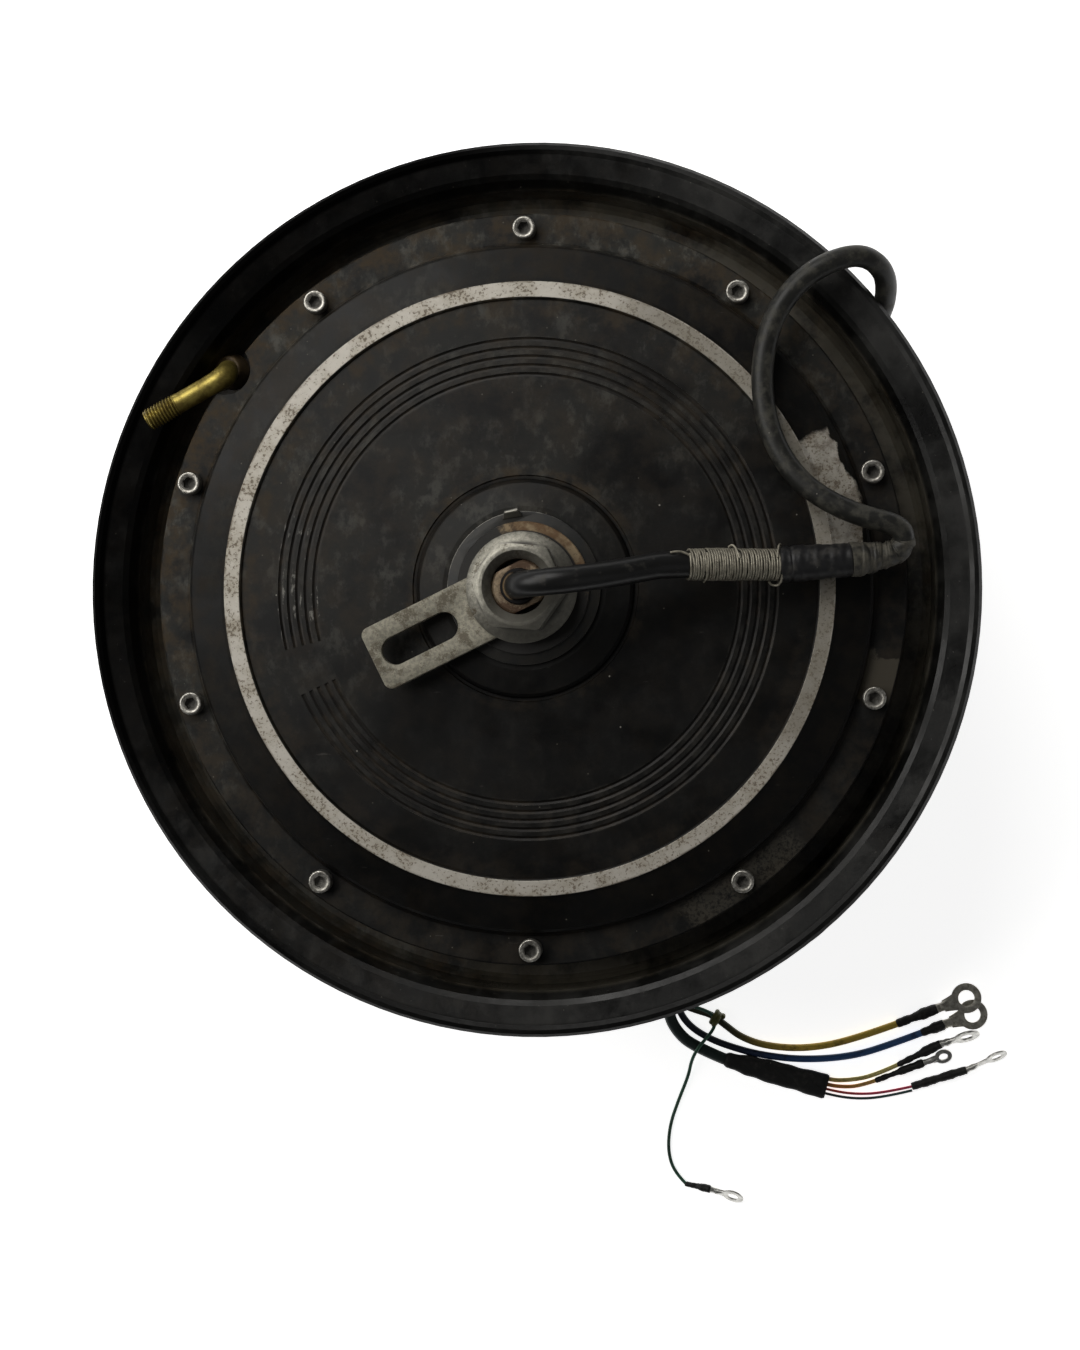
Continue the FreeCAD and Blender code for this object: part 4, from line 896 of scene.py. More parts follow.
def make_cord(name, points, radius, material, slot, node):
    """A cord on its CAD tube's route."""
    piece = add_piece(name, nurbs_data(name, points, radius), "axle_side", material, slot, node)


# ---- wire binding on the motor cable ----

BINDING_WIRE_R = 0.00043
WINDINGS = ((0.0, 0.0057, 0.0053, 0.00092), (0.0062, 0.0175, 0.0055, 0.00090),
        (0.0182, 0.0336, 0.00535, 0.00096))


def helix(line, run, first, last, radius, pitch, steps=40):
    """Points of one close winding round a line, from distance first to last."""
    turns = (last - first) / pitch
    points = []
    uneven = wobble((0.10 * pitch, 9000.0, 1.0), (0.07 * pitch, 23000.0, 2.4))
    for k in range(round(turns * steps) + 1):
        s = first + (last - first) * k / (turns * steps)
        centre = point_at(line, run, s)
        way = (point_at(line, run, s + 0.0005) - point_at(line, run, s - 0.0005)).normalized()
        side = UP.cross(way).normalized()
        over = way.cross(side)
        a = 2 * math.pi * k / steps + 0.8
        lift = radius + 0.00004 * math.sin(5.3 * a / (2 * math.pi) + 1.7)
        points.append(centre + side * (math.cos(a) * lift) + over * (math.sin(a) * lift)
                      + way * uneven(s))
    return points


def make_binding():
    """Three windings of steel wire on the cable, with their bent loose ends."""
    line = spline_line(MOTOR_CABLE)
    run = distances(line)
    binding_end = run[-1] - 0.0002
    first = binding_end - WINDINGS[-1][1]
    runs = []
    for start, end, radius, pitch in WINDINGS:
        runs.append(helix(line, run, first + start, first + end, radius, pitch))
    way = (line[-1] - line[-8]).normalized()
    side = UP.cross(way).normalized()
    over = way.cross(side)

    def near(along, aside, above):
        """A point beside the binding: metres from its start, to the side and above the cable's middle."""
        return point_at(line, run, first + along) + side * aside + over * above

    # hook of spare wire under the far end, and the twisted ends on the side away from the leads
    for bent_end in (
            ((0.0338, -0.0012, 0.0053), (0.0341, -0.0048, 0.0038), (0.0338, -0.0070, 0.0012),
                    (0.0322, -0.0076, -0.0002), (0.0306, -0.0068, -0.0008), (0.0300, -0.0060, 0.0)),
            ((0.0178, 0.0020, 0.0052), (0.0172, 0.0048, 0.0040), (0.0163, 0.0066, 0.0030),
                    (0.0153, 0.0068, 0.0022), (0.0148, 0.0060, 0.0014)),
            ((0.0318, 0.0024, 0.0052), (0.0322, 0.0052, 0.0040), (0.0331, 0.0071, 0.0026),
                    (0.0342, 0.0073, 0.0020), (0.0347, 0.0064, 0.0010)),
            ((0.0000, 0.0030, 0.0043), (-0.0022, 0.0044, 0.0034), (-0.0052, 0.0046, 0.0030),
                    (-0.0070, 0.0043, 0.0027)),
            ((0.0059, -0.0020, 0.0052), (0.0066, -0.0052, 0.0030), (0.0062, -0.0062, -0.0006)),
    ):
        runs.append([near(*place) for place in bent_end])
    data = bpy.data.curves.new("binding_wire", "CURVE")
    data.dimensions = "3D"
    data.bevel_depth = BINDING_WIRE_R
    data.bevel_resolution = 2
    data.use_fill_caps = True
    data.resolution_u = 8
    for points in runs:
        spline = add_spline(data, points)
        if len(points) > 30:
            spline.resolution_u = 1
    return add_piece("binding_wire", data, "axle_side", "binding_wire", "binding_wire", "wire_binding")


# ---- splice sleeve and its tape ----

def make_splice():
    """Shrink sleeve over the splice, with a pinched ring, wrinkles and a lip at each end."""
    start = Vector(MOTOR_CABLE[-1])
    end = Vector(EXTENSION_CABLE[0])
    way = (end - start).normalized()
    line = resampled([start - way * 0.0004, end + way * 0.0012], 0.0004)
    length = (end - start).length + 0.0016
    lumps = wobble((0.00010, 900.0, 0.3), (0.00007, 2100.0, 1.1))
    across = wobble((0.00012, 2.0, 0.6), (0.00008, 3.0, 2.0))

    def radius_at(s, a):
        radius = 0.0062 + 0.0002 * math.sin(s * 200.0)
        radius -= 0.0010 * (1 - smooth_share(s, 0.0, 0.0009))
        radius -= 0.00035 * math.exp(-((s - 0.0045) / 0.00035) ** 2)
        radius -= 0.0008 * smooth_share(s, length - 0.0015, length)
        return radius + lumps(s + 0.002 * math.sin(a)) + across(a)
    splice = add_piece("splice_cover", tube("splice_cover", line, radius_at, 48), "axle_side",
                       "splice_rubber", "black_shrink", "splice_sleeve")

    # tape wound on the extension cable, tapering into the fold
    whole = spline_line(EXTENSION_CABLE)
    run = distances(whole)
    taped = 0.0225
    line = [point_at(whole, run, taped * k / 90) for k in range(91)]
    pitch = 0.0046
    creases = wobble((0.00016, 1500.0, 0.2), (0.00012, 3100.0, 1.9), (0.00008, 6100.0, 0.7))

    def tape_radius(s, a):
        radius = 0.0061 - 0.0019 * smooth_share(s, 0.0, 0.0175)
        lap = (s / pitch + a / (2 * math.pi)) % 1.0
        radius += 0.00042 * (1 - lap) * smooth_share(lap, 0.0, 0.10)
        radius += creases(s * 0.6 + 0.0012 * math.cos(a + 300 * s))
        return radius - 0.0004 * smooth_share(s, taped - 0.0012, taped)
    tape = add_piece("splice_tape", tube("splice_tape", line, tape_radius, 48), "axle_side",
                     "splice_tape", "black_shrink", "splice_sleeve")
    return splice, tape


# ---- sleeves of the leads ----

def make_breakout():
    """Shrink sleeve at the end of the extension cable, gathered round the leads."""
    start = Vector(EXTENSION_CABLE[-1])
    way = (start - Vector(EXTENSION_CABLE[-2])).normalized()
    line = resampled([start - way * 0.004, start + way * BREAKOUT_LENGTH], 0.00035)
    length = BREAKOUT_LENGTH + 0.004
    dents = wobble((0.00010, 3.0, 0.5), (0.00007, 5.0, 1.0))

    def radius_at(s, a):
        radius = 0.0044 + 0.0003 * smooth_share(s, 0.002, 0.006)
        radius -= 0.0002 * smooth_share(s, length - 0.001, length)
        return radius + dents(a) * smooth_share(s, 0.004,
                length) - 0.0002 * (1 - smooth_share(s, 0.0, 0.0006))
    return add_piece("breakout_shrink", tube("breakout_shrink", line, radius_at, 40), "axle_side",
                     "shrink_rubber", "black_shrink", "breakout_sleeve")


def make_sensor_shrink():
    """Flattened, wrinkled shrink sleeve round the sensor wires."""
    start = Vector(SENSOR_BUNDLE[-1])
    end = Vector(SENSOR_SLEEVE_END)
    way = (end - start).normalized()
    line = resampled([start - way * 0.0006, end], 0.0005)
    length = (end - start).length + 0.0006
    folds = wobble((0.00016, 420.0, 0.4), (0.00010, 990.0, 2.1), (0.00006, 2300.0, 0.9))
    edge = wobble((0.00020, 310.0, 1.3), (0.00012, 740.0, 0.2))

    def radius_at(s, a):
        wide = 0.0028 + 0.0016 * smooth_share(s, 0.001, 0.012) + 0.0006 * smooth_share(s, 0.014, 0.036)
        high = 0.00240 - 0.0002 * smooth_share(s, 0.030, length)
        wide += edge(s)
        squared = (abs(math.cos(a)) / wide) ** 2.6 + (abs(math.sin(a)) / high) ** 2.6
        radius = squared ** (-1 / 2.6)
        radius -= 0.0009 * (1 - smooth_share(s, 0.0, 0.0022)) + 0.0005 * smooth_share(s,
                length - 0.0012, length)
        return radius + folds(s + 0.004 * math.cos(a)) * abs(math.sin(a))
    return add_piece("sensor_shrink", tube("sensor_shrink", line, radius_at, 56), "axle_side",
                     "shrink_rubber", "black_shrink", "sensor_sleeve")


# For each lead: its route and radius, the shrink sleeve's end, the eye's centre, then the eye's and
# its hole's radius, the neck's half width, the plate's thickness, the barrel's radius, the roll
# about the barrel in degrees, and the terminal's material.
LEAD_ENDS = {
    "yellow": (YELLOW_WIRE, PHASE_R, (0.1556, -0.1672, 0.0037), (0.1676, -0.1627, 0.0040),
               0.0061, 0.0032, 0.0034, 0.0012, 0.0019, -10, "lug_tin"),
    "blue": (BLUE_WIRE, PHASE_R, (0.1586, -0.1738, 0.0024), (0.1702, -0.1696, 0.0020),
             0.0061, 0.0032, 0.0034, 0.0012, 0.0019, 0, "lug_tin"),
    "pale": (PALE_WIRE, PALE_R, (0.1570, -0.1814, 0.0050), (0.1676, -0.1781, 0.0056),
             0.0054, 0.0026, 0.0028, 0.0010, 0.0016, 62, "bright_tin"),
    "orange": (ORANGE_WIRE, ORANGE_R, (0.1502, -0.1894, 0.0032), (0.1584, -0.1866, 0.0034),
               0.0036, 0.0018, 0.0018, 0.0008, 0.0013, 35, "bright_tin"),
    "red": (RED_WIRE, THIN_R, (0.1674, -0.1920, 0.0034), (0.1796, -0.1862, 0.0044),
            0.0046, 0.0022, 0.0022, 0.0008, 0.0014, 62, "bright_tin"),
    "ground": (GROUND_WIRE, GROUND_R, (0.0636, -0.2426, 0.0027), (0.0732, -0.2452, 0.0038),
               0.0044, 0.0022, 0.0022, 0.0008, 0.0013, 52, "bright_tin"),
}
SHARED_SLEEVE_R = {"red": 0.0017}
BARREL_LENGTH = 0.0036


def eye_plate(eye_r, hole_r, neck_half, thick, reach):
    """Flat eye with a rounded rim, a round hole, and a neck that widens out of the barrel."""
    bm = bmesh.new()
    corner = math.asin(min(0.98, neck_half / eye_r))
    outline = []
    for k in range(41):
        a = (math.pi - corner) * (1 - 2 * k / 40)
        outline.append(polar(eye_r, a))
    narrow = neck_half * 0.80
    outline += [Vector((-reach * 0.62, -narrow, 0)), Vector((-reach + 0.003, -neck_half * 0.7, 0)),
                Vector((-reach + 0.003, neck_half * 0.7, 0)), Vector((-reach * 0.62, narrow, 0))]
    hole = [polar(hole_r, a) for a in angles(36)]
    edges = []
    for loop in (outline, hole):
        corners = [bm.verts.new(p + Vector((0, 0, -thick / 2))) for p in loop]
        edges += [bm.edges.new((a, b)) for a, b in zip(corners, corners[1:] + corners[:1])]
    bmesh.ops.triangle_fill(bm, use_beauty=True, edges=edges)
    raised = bmesh.ops.extrude_face_region(bm, geom=bm.faces[:])
    bmesh.ops.translate(bm, verts=[v for v in raised["geom"] if isinstance(v, bmesh.types.BMVert)],
                        vec=(0, 0, thick))
    bmesh.ops.recalc_face_normals(bm, faces=bm.faces[:])
    rims = [e for e in bm.edges if len(e.link_faces) == 2 and e.calc_face_angle() > 1.2
            and abs(e.verts[0].co.z - e.verts[1].co.z) < thick * 0.1]
    bmesh.ops.bevel(bm, geom=rims, offset=thick * 0.28, segments=2, affect="EDGES", profile=0.6)
    mesh = bpy.data.meshes.new("eye")
    bm.to_mesh(mesh)
    bm.free()
    return mesh


def crimp_barrel(barrel_r, neck_half, thick, reach):
    """Barrel crimped on the wire, flattened where it runs into the neck, with a pressed waist."""
    rings = []
    for k in range(25):
        share = k / 24
        x = -reach + share * (BARREL_LENGTH + 0.0026)
        flat = smooth_share(share, 0.45, 1.0)
        wide = barrel_r * (1 - flat) + neck_half * 0.78 * flat
        high = barrel_r * (1 - flat) + thick * 0.62 * flat
        waist = 0.16 * math.exp(-((share - 0.28) / 0.09) ** 2)
        ring = []
        for a in angles(28):
            seam = 1 - 0.14 * math.exp(-((a - math.pi / 2) / 0.22) ** 2) * (1 - flat)
            ring.append(Vector((x, wide * math.cos(a) * (1 - 0.3 * waist),
                    high * math.sin(a) * (1 - waist) * seam)))
        rings.append(ring)
    return skin("barrel", rings)


def make_lead_end(name, data):
    """One ring terminal and its shrink sleeve."""
    route, wire_r, sleeve_end, eye, eye_r, hole_r, neck, thick, barrel_r, roll, finish = data
    start = Vector(route[-1])
    end = Vector(sleeve_end)
    eye = Vector(eye)
    way = (eye - end).normalized()
    reach = (eye - end).length
    lug = joined(name + "_terminal", [eye_plate(eye_r, hole_r, neck, thick, reach),
                                      crimp_barrel(barrel_r, neck, thick, reach)])
    turn = Vector((1, 0, 0)).rotation_difference(way).to_matrix().to_4x4()
    lug.transform(Matrix.Translation(eye) @ turn @ Matrix.Rotation(math.radians(roll), 4, "X"))
    smoothed(lug, 30)
    terminal = add_piece(name + "_terminal", lug, "axle_side", finish, "tinned_copper",
            name + "_lead_lug")

    line = resampled([start - (end - start).normalized() * 0.0005,
            end + (end - start).normalized() * 0.0004], 0.0004)
    length = (end - start).length + 0.0009
    first_r = SHARED_SLEEVE_R.get(name, wire_r + 0.0003)
    lumps = wobble((0.00012, 700.0, len(name)), (0.00008, 1700.0, 1.0 + len(name)),
            (0.00005, 4100.0, 0.3))

    def radius_at(s, a):
        radius = first_r + (barrel_r + 0.00035 - first_r) * smooth_share(s, length * 0.38,
                length * 0.66)
        radius -= 0.00025 * (1 - smooth_share(s, 0.0, 0.0007)) + 0.0003 * smooth_share(s,
                length - 0.0007, length)
        return radius + lumps(s + 0.0012 * math.sin(a))
    shrink = add_piece(name + "_shrink", tube(name + "_shrink", line, radius_at, 28), "axle_side",
                       "shrink_rubber", "black_shrink", "lead_end_sleeves")
    return terminal, shrink


# ---- cover screws ----

SCREW_COUNT = 10
SCREW_PCD_R = 0.133
SCREW_FIRST_DEG = 90.5
SCREW_HEAD_R = 0.00425
SCREW_HEAD_H = 0.005
SCREW_LENGTH = 0.016
HEX_HALF = 0.002
UPPER_HEAD_Z = 0.1095
LOWER_HEAD_Z = 0.0145


def cap_screw(turn):
    """Socket head cap screw about Z, head up from z = 0, its hexagon turned by an angle."""
    profile = [(-SCREW_LENGTH, 0.0019), (-SCREW_LENGTH + 0.0005, 0.0024)]
    for k in range(17):
        z = -0.0150 + 0.0008 * k
        profile += [(z, 0.0021), (z + 0.0004, 0.0025)]
    profile += [(-0.0010, 0.0025), (0.0, 0.0025), (0.0, 0.00405), (0.0002, SCREW_HEAD_R),
                (0.0043, SCREW_HEAD_R), (0.0046, SCREW_HEAD_R - 0.00006), (0.00495, 0.0039),
                (SCREW_HEAD_H, 0.0037), (SCREW_HEAD_H, 0.00310), (0.0046, 0.00245)]
    around = 72
    rings = turned_rings(profile, around, knurled_head)
    for z, share in ((0.0045, 1.0), (0.0022, 1.0), (0.0020, 0.85)):
        ring = []
        for a in angles(around):
            r = share * HEX_HALF / math.cos((a - turn + math.pi / 6) % (math.pi / 3) - math.pi / 6)
            ring.append(polar(r, a, z))
        rings.append(ring)
    return skin("screw", rings, sharp_deg=50)


def knurled_head(radius, angle, z):
    """Straight knurling on the head's side, 24 ridges."""
    if radius >= SCREW_HEAD_R and z > 0.0003:
        return radius - (0.0001 if round(angle * 72 / (2 * math.pi)) % 3 == 0 else 0.0)
    return radius


def socket_grime_and_shade(mesh, amount):
    """Share of grime and painted shade at each vertex of a screw: all of it inside the socket, a little
    on the knurling, where it is painted shade.
    """
    shares = []
    for vertex in mesh.vertices:
        across = math.hypot(vertex.co.x, vertex.co.y)
        if across < 0.0030 and vertex.co.z > 0.0:
            shares.append(amount)
        else:
            shares.append(0.55 if vertex.co.z < 0.0040 else 0.0)
    return shares


def mark_grime_and_shade(mesh, shares):
    layer = mesh.attributes.new("grime", "FLOAT", "POINT")
    layer.data.foreach_set("value", shares)


def make_screws(name, node, seat_z, upward):
    """The ring of screws in one cover."""
    screws = []
    grime = []
    for k in range(SCREW_COUNT):
        screw = cap_screw(random.uniform(0, math.pi / 3))
        grime += socket_grime_and_shade(screw, random.choice((1.0, 0.9, 0.75, 0.95)))
        a = math.radians(SCREW_FIRST_DEG + 360 * k / SCREW_COUNT)
        if not upward:
            screw.transform(Matrix.Rotation(math.pi, 4, "X"))
        screw.transform(Matrix.Translation((SCREW_PCD_R * math.cos(a), SCREW_PCD_R * math.sin(a),
                seat_z)))
        screws.append(screw)
    mesh = joined(name, screws)
    smoothed(mesh, 50)
    mark_grime_and_shade(mesh, grime)
    return add_piece(name, mesh, "wheel", "screw_steel", "screw_steel", node)


# ---- tyre valve ----

VALVE_FOOT = Vector((-0.11714, 0.08511, 0.071))
VALVE_KNEE = Vector((-0.11714, 0.08511, 0.093))
VALVE_ELBOW = Vector((-0.1132, 0.0806, 0.109))
VALVE_TIP = Vector((-0.1434, 0.0636, 0.1106))
VALVE_THREAD_LENGTH = 0.013
VALVE_STEM_R = 0.0038
VALVE_THREAD_R = 0.0042
VALVE_THREAD_PITCH = 0.00125
VALVE_BORE_R = 0.0019
VALVE_BORE_DEPTH = 0.009
VALLEY_FLOOR_Z = 0.084


def rounded_line(points, reach, step):
    """Straight runs joined by arcs that start reach from each inner corner, in even small steps."""
    line = [points[0]]
    for before, corner, after in zip(points, points[1:], points[2:]):
        a = corner + (before - corner).normalized() * reach
        b = corner + (after - corner).normalized() * reach
        for k in range(13):
            t = k / 12
            line.append(a * (1 - t) ** 2 + corner * (2 * t * (1 - t)) + b * t ** 2)
    line.append(points[-1])
    return resampled(line, step)


def make_valve():
    """Bent brass stem with a rolled thread and an open mouth, and the rubber grommet at its foot."""
    line = rounded_line([VALVE_FOOT, VALVE_KNEE, VALVE_ELBOW, VALVE_TIP], 0.0075, 0.0001)
    run = distances(line)
    total = run[-1]
    thread_from = total - VALVE_THREAD_LENGTH
    elbow_at = (VALVE_KNEE - VALVE_FOOT).length + (VALVE_ELBOW - VALVE_KNEE).length - 0.0025
    rings = []
    grime = []
    around = 48
    for place, s, (way, side, over) in zip(line, run, cross_directions(line)):
        radii = []
        for k in range(around):
            radius = VALVE_STEM_R + 0.0005 * math.exp(-((s - elbow_at) / 0.005) ** 2)
            grime.append(0.0)
            if s > thread_from:
                turn = (s / VALVE_THREAD_PITCH + k / around) % 1.0
                ridge = abs(2 * turn - 1)
                full = VALVE_THREAD_R - 0.00065 * ridge ** 1.3
                # thread roots darkened: grime and painted shade
                grime[-1] = ridge ** 2 * smooth_share(s, thread_from, thread_from + 0.0008)
                radius = radius + (full - radius) * smooth_share(s, thread_from, thread_from + 0.0008)
            radius -= 0.0006 * smooth_share(s, total - 0.0007, total)
            radii.append(radius)
        rings.append(loop_about(place, side, over, radii))
    way, side, over = cross_directions(line)[-1]
    for radius, back in ((0.0028, 0.0), (VALVE_BORE_R + 0.0002, 0.0), (VALVE_BORE_R, 0.0003),
                         (VALVE_BORE_R, VALVE_BORE_DEPTH)):
        rings.append(loop_about(line[-1] - way * back, side, over, [radius] * around))
    tube_mesh = skin("valve_tube", rings, sharp_deg=42)
    # the mouth's face and bore are darkened: grime, and painted shade in the bore
    mark_grime_and_shade(tube_mesh, grime + [0.8] * (len(tube_mesh.vertices) - len(grime)))
    add_piece("valve_tube", tube_mesh, "wheel", "valve_brass", "brass", "valve_stem")

    profile = [(-0.0130, 0.0036), (-0.0130, 0.0060), (-0.0126, 0.0064), (-0.0121, 0.0064),
            (-0.0118, 0.0056),
               (-0.0004, 0.0056), (-0.0002, 0.0066), (0.0003, 0.00695), (0.0012, 0.0070), (0.0022,
                       0.0069),
               (0.0030, 0.00665), (0.0036, 0.00655), (0.0046, 0.0062), (0.0056, 0.0059), (0.0063,
                       0.00578),
               (0.0072, 0.0055), (0.0082, 0.0051), (0.0088, 0.0048), (0.0090, 0.0044), (0.0089, 0.0037)]
    rings = turned_rings([(VALLEY_FLOOR_Z + z, r) for z, r in profile], 56)
    grommet = skin("valve_boot", rings, sharp_deg=60)
    grommet.transform(Matrix.Translation((VALVE_FOOT.x, VALVE_FOOT.y, 0)))
    add_piece("valve_boot", grommet, "wheel", "grommet_rubber", "brown_rubber", "valve_grommet")


# ---- parts on the axle's end ----

SPACER_TOP = 0.1262
ARM_T = 0.0045
NUT_BASE = SPACER_TOP + ARM_T
NUT_TOP = 0.145
NUT_HALF = 0.015
NUT_CORNER = math.radians(175)
THREAD_R = 0.010


def make_nut():
    """Flange nut: sloped flange, hexagon with worn corners, chamfered top and a countersunk mouth."""
    around = 144
    bands = [[] for _ in range(13)]
    # grime share of each band: the crease at the hexagon's foot, fading up its sides, and the countersunk
    # mouth are darkened, grime and painted shade
    shares = (0, 0, 0, 0, 0, 1.0, 1.0, 0.25, 0, 0, 0, 0.7, 0.9)
    for a in angles(around):
        flat = NUT_HALF / math.cos((a - NUT_CORNER) % (math.pi / 3) - math.pi / 6)
        side = min(flat, 0.0169)
        foot = max(0.0160, side + 0.00005)
        shoulder_z = NUT_BASE + 0.0018 + (0.0194 - foot) * 0.53
        top_edge = NUT_TOP - 0.0019 * (side - 0.0142) / 0.0041
        profile = ((THREAD_R, NUT_BASE), (0.0200, NUT_BASE), (0.0202, NUT_BASE + 0.0002),
                   (0.0202, NUT_BASE + 0.0011), (0.0194, NUT_BASE + 0.0018),
                   (foot, shoulder_z), (side, shoulder_z),
                   (side, top_edge), (0.0142, NUT_TOP - 0.00005), (0.0140, NUT_TOP), (0.0129, NUT_TOP),
                   (0.0126, NUT_TOP - 0.00025), (THREAD_R, NUT_TOP - 0.0028))
        for band, (r, z) in zip(bands, profile):
            band.append(polar(r, a, z))
    grime = [share for share in shares for _ in range(around)]
    bands.insert(5, [p.lerp(q, 0.38) for p, q in zip(bands[5], bands[4])])
    grime[5 * around:5 * around] = [0.0] * around
    mesh = skin("flange_nut", bands, hollow=True, sharp_deg=33)
    mark_grime_and_shade(mesh, grime)
    add_piece("flange_nut", mesh, "axle_side", "nut_steel", "zinc_steel", "axle_nut")


def recut(name, node, width, material, slot):
    """A CAD part with its edges worn round: the same shape, clean faces, a fine bevel on each edge."""
    shape = bmesh.new()
    shape.from_mesh(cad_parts[node].data)
    bmesh.ops.remove_doubles(shape, verts=shape.verts, dist=WELD_DISTANCE)
    bmesh.ops.dissolve_limit(shape, angle_limit=math.radians(0.6), verts=shape.verts, edges=shape.edges)
    sharp = [e for e in shape.edges
             if len(e.link_faces) == 2 and e.calc_face_angle() > math.radians(SHARP_DEG)]
    bmesh.ops.bevel(shape, geom=sharp, offset=width, segments=2, profile=0.5, affect="EDGES",
            clamp_overlap=True)
    mesh = bpy.data.meshes.new(name)
    shape.to_mesh(mesh)
    shape.free()
    for layer in [a.name for a in mesh.attributes if a.name == "custom_normal"]:
        mesh.attributes.remove(mesh.attributes[layer])
    smoothed(mesh, SHARP_DEG)
    add_piece(name, mesh, "axle_side", material, slot, node)


# ---- knot of the leads ----

def make_knot():
    """The yellow lead's half hitch where it leaves the bundle."""
    middle = Vector((0.0664, -0.1727, 0.0030))
    points = []
    for k in range(28):
        a = 2 * math.pi * k / 13
        way = Vector((0.77, -0.60, 0.0)).normalized()
        side = UP.cross(way)
        lift = 0.0026 + 0.0003 * math.sin(1.7 * a)
        centre = middle + way * (0.0030 * (k / 27 - 0.5)) + UP * 0.0001
        points.append(centre + side * (math.cos(a) * lift) + UP * (math.sin(a) * lift * 0.85))
    data = nurbs_data("lead_knot", points, 0.00105)
    return add_piece("lead_knot", data, "axle_side", "yellow_green_wire", "yellow_insulation")


# ---- everything on the frame ----

def make_cords():
    binding = make_binding()
    splice, tape = make_splice()
    breakout = make_breakout()
    sensor_shrink = make_sensor_shrink()
    for name, data in LEAD_ENDS.items():
        make_lead_end(name, data)
    knot = make_knot()
    make_cord("motor_cord", MOTOR_CABLE, CABLE_R, "motor_jacket", "black_rubber", "motor_cable")
    make_cord("extension_cord", EXTENSION_CABLE, EXTENSION_R, "extension_jacket", "black_plastic",
              "extension_cable")
    make_cord("bundle_cord", SENSOR_BUNDLE, BUNDLE_R, "dark_green_wire", "dark_green_insulation",
            "sensor_bundle")
    make_cord("yellow_cord", YELLOW_WIRE, PHASE_R, "yellow_wire", "yellow_insulation",
            "yellow_phase_wire")
    make_cord("blue_cord", BLUE_WIRE, PHASE_R, "blue_wire", "blue_insulation", "blue_phase_wire")
    make_cord("pale_cord", PALE_WIRE, PALE_R, "pale_wire", "pale_insulation", "pale_sensor_wire")
    make_cord("orange_cord", ORANGE_WIRE, ORANGE_R, "orange_wire", "orange_insulation",
            "orange_sensor_wire")
    make_cord("red_cord", RED_WIRE, THIN_R, "red_wire", "red_insulation", "red_sensor_wire")
    make_cord("dark_green_cord", GREEN_WIRE, THIN_R, "dark_green_wire", "dark_green_insulation",
              "green_sensor_wire")
    make_cord("ground_cord", GROUND_WIRE, GROUND_R, "green_wire", "green_insulation", "ground_wire")


# CAD nodes that keep their mesh, by material. Coils and bearings are told by their names.
KEPT_NODES = {
    "rim": "rim_paint",
    "upper_cover": "cable_cover_paint",
    "lower_cover": "closed_cover_paint",
    "upper_cover_gasket": "gasket_paper",
    "lower_cover_gasket": "gasket_paper",
    "axle_spacer": "rusty_steel",
    "cable_bush": "bush_rubber",
    "shaft_seal": "seal_rubber",
    "valve_pin": "valve_brass",
    "rotor_ring": "turned_steel",
    "magnets": "magnet_plating",
    "stator_core": "laminations",
    "upper_slot_insulator": "white_insulator",
    "lower_slot_insulator": "white_insulator",
    "hall_board": "circuit_board",
    "hall_sensors": "sensor_plastic",
    "inner_phase_leads": "blue_wire",
    "inner_sensor_lead": "motor_jacket",
    "inner_cable": "motor_jacket",
    "stator_carrier": "carrier_aluminium",
}
BEVELS = {"cable_bush": 0.0006, "magnets": 0.0003, "hall_sensors": 0.0001}
WELD_DISTANCE = 0.000004
SHARP_DEG = 32


def dress_kept_nodes():
    """Materials for the CAD nodes that stay, and a fine bevel where an edge shows."""
    for node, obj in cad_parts.items():
        if node in replaced_nodes:
            continue
        bevel = BEVELS.get(node)
        obj.data.materials.clear()
        obj.data.materials.append(MATERIALS[kept_look(node)])
        if bevel:
            weld = obj.modifiers.new("weld", "WELD")
            weld.merge_threshold = WELD_DISTANCE
            edges = obj.modifiers.new("edges", "BEVEL")
            edges.width = bevel
            edges.segments = 2
            edges.limit_method = "ANGLE"
            edges.angle_limit = math.radians(SHARP_DEG)
            edges.harden_normals = True


def kept_look(node):
    if node in KEPT_NODES:
        return KEPT_NODES[node]
    if "coils" in node:
        return "copper_winding"
    if node.endswith("cage"):
        return "cage_steel"
    if "bearing" in node:
        return "bearing_steel"
    raise KeyError(node)


# ---- floor, light and camera ----

FLOOR_HALF = 3.0
LIT_PLACE = (0.0, 0.0, 0.05)
WARM_WHITE = (1.0, 0.985, 0.955)


def make_floor():
    mesh = bpy.data.meshes.new("floor")
    corners = [(x * FLOOR_HALF, y * FLOOR_HALF, 0) for x, y in ((-1, -1), (1, -1), (1, 1), (-1, 1))]
    mesh.from_pydata(corners, [], [(0, 1, 2, 3)])
    floor = bpy.data.objects.new("floor", mesh)
    bpy.context.scene.collection.objects.link(floor)
    look = Shader("floor_paper")
    cloud = look.noise(0.3, 2, 0.5)
    look.finish(look.mix(cloud, (0.90, 0.90, 0.895), (0.93, 0.93, 0.925)), 0.7, Emission_Strength=0.85)
    look.surface.inputs["Emission Color"].default_value = (1.0, 1.0, 1.0, 1.0)
    mesh.materials.append(look.material)


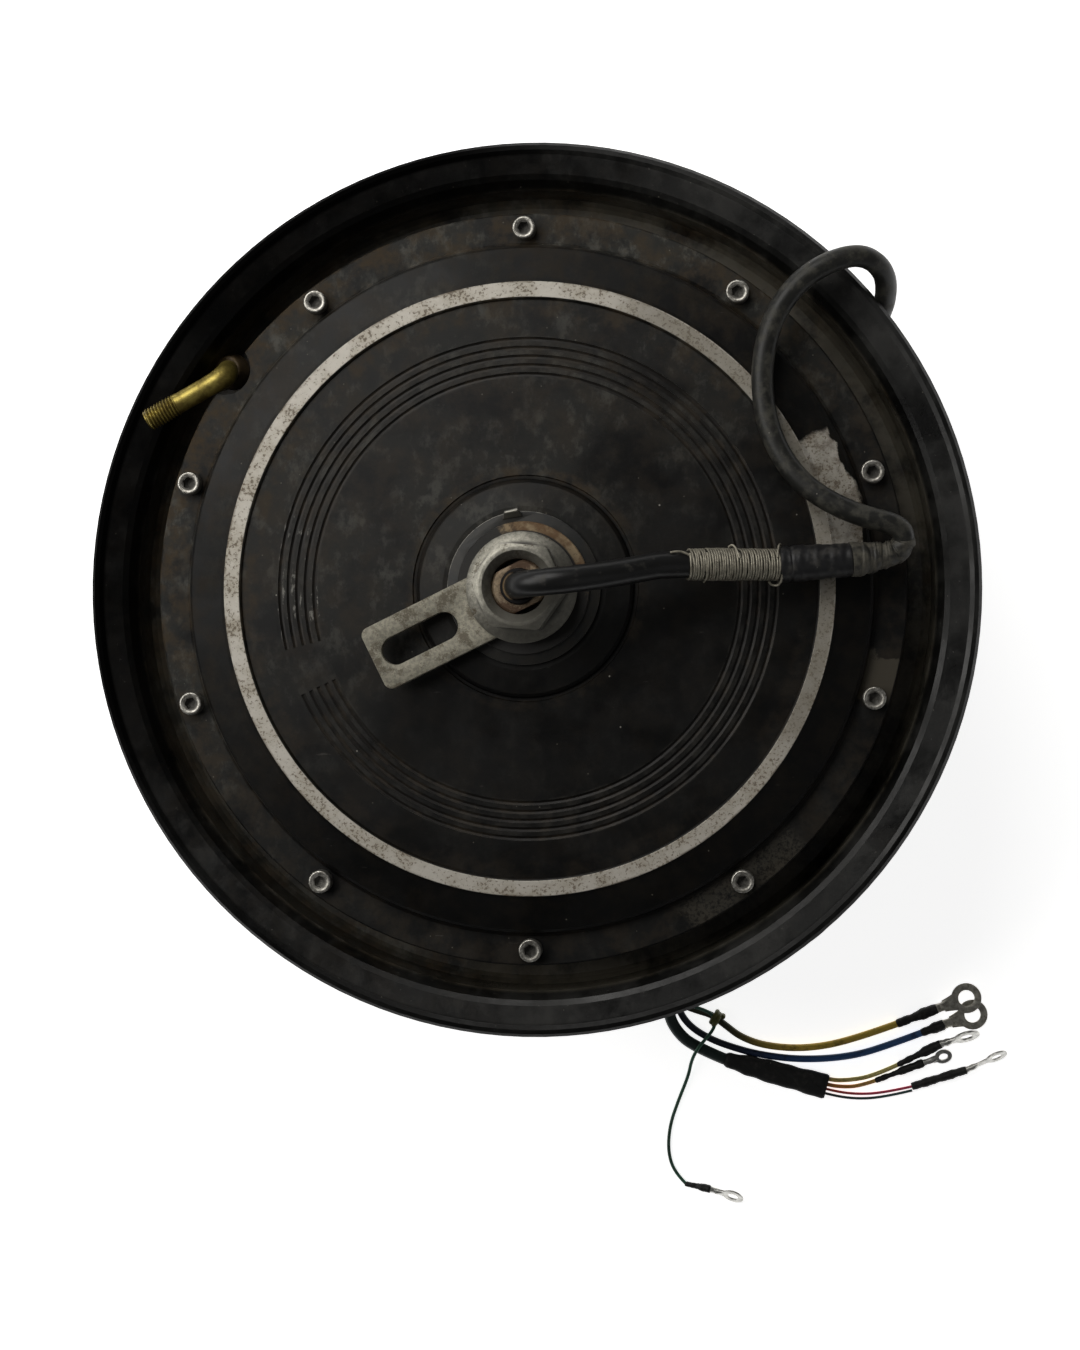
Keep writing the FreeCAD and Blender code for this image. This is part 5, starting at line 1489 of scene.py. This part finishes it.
def add_light(name, place, aim, size, watts, colour=(1.0, 1.0, 1.0)):
    light = bpy.data.lights.new(name, "AREA")
    light.shape = "DISK"
    light.size = size
    light.energy = watts
    light.color = colour
    lamp = bpy.data.objects.new(name, light)
    bpy.context.scene.collection.objects.link(lamp)
    lamp.location = place
    lamp.rotation_euler = (Vector(aim) - Vector(place)).to_track_quat("-Z", "Y").to_euler()


def make_light():
    world = bpy.data.worlds.new("studio")
    world.use_nodes = True
    world.node_tree.nodes["Background"].inputs["Color"].default_value = (1.0, 1.0, 1.0, 1.0)
    world.node_tree.nodes["Background"].inputs["Strength"].default_value = 0.055
    bpy.context.scene.world = world
    add_light("key", (-0.32, 0.80, 0.95), LIT_PLACE, 0.9, 6.5, WARM_WHITE)
    add_light("left_key", (-0.85, 0.22, 0.95), LIT_PLACE, 0.9, 6.0, WARM_WHITE)
    add_light("fill", (0.9, -0.6, 1.2), (0.0, -0.05, 0.05), 1.2, 0.7)
    bpy.context.scene.view_settings.view_transform = "Standard"


def make_camera():
    data = bpy.data.cameras.new("camera")
    data.lens = LENS
    data.sensor_width = SENSOR
    camera = bpy.data.objects.new("camera", data)
    bpy.context.scene.collection.objects.link(camera)
    toward = Vector((math.sin(CAMERA_TILT), 0, math.cos(CAMERA_TILT)))
    camera.location = AIM + toward * CAMERA_DISTANCE
    right = Vector((math.cos(CAMERA_TILT), 0, -math.sin(CAMERA_TILT)))
    up = toward.cross(right)
    camera.rotation_euler = Matrix((right, up, toward)).transposed().to_euler()
    bpy.context.scene.camera = camera


make_screws("cable_side_screws", "upper_cover_screws", UPPER_HEAD_Z, True)
make_screws("closed_side_screws", "lower_cover_screws", LOWER_HEAD_Z, False)
make_valve()
make_nut()
recut("anchor_bar", "torque_arm", 0.00035, "arm_steel", "galvanised_steel")
recut("lock_washer", "tab_washer", 0.00018, "washer_steel", "dark_steel")
recut("hollow_axle", "axle", 0.0003, "axle_steel", "machined_steel")
make_cords()
dress_kept_nodes()
make_floor()
make_light()
make_camera()
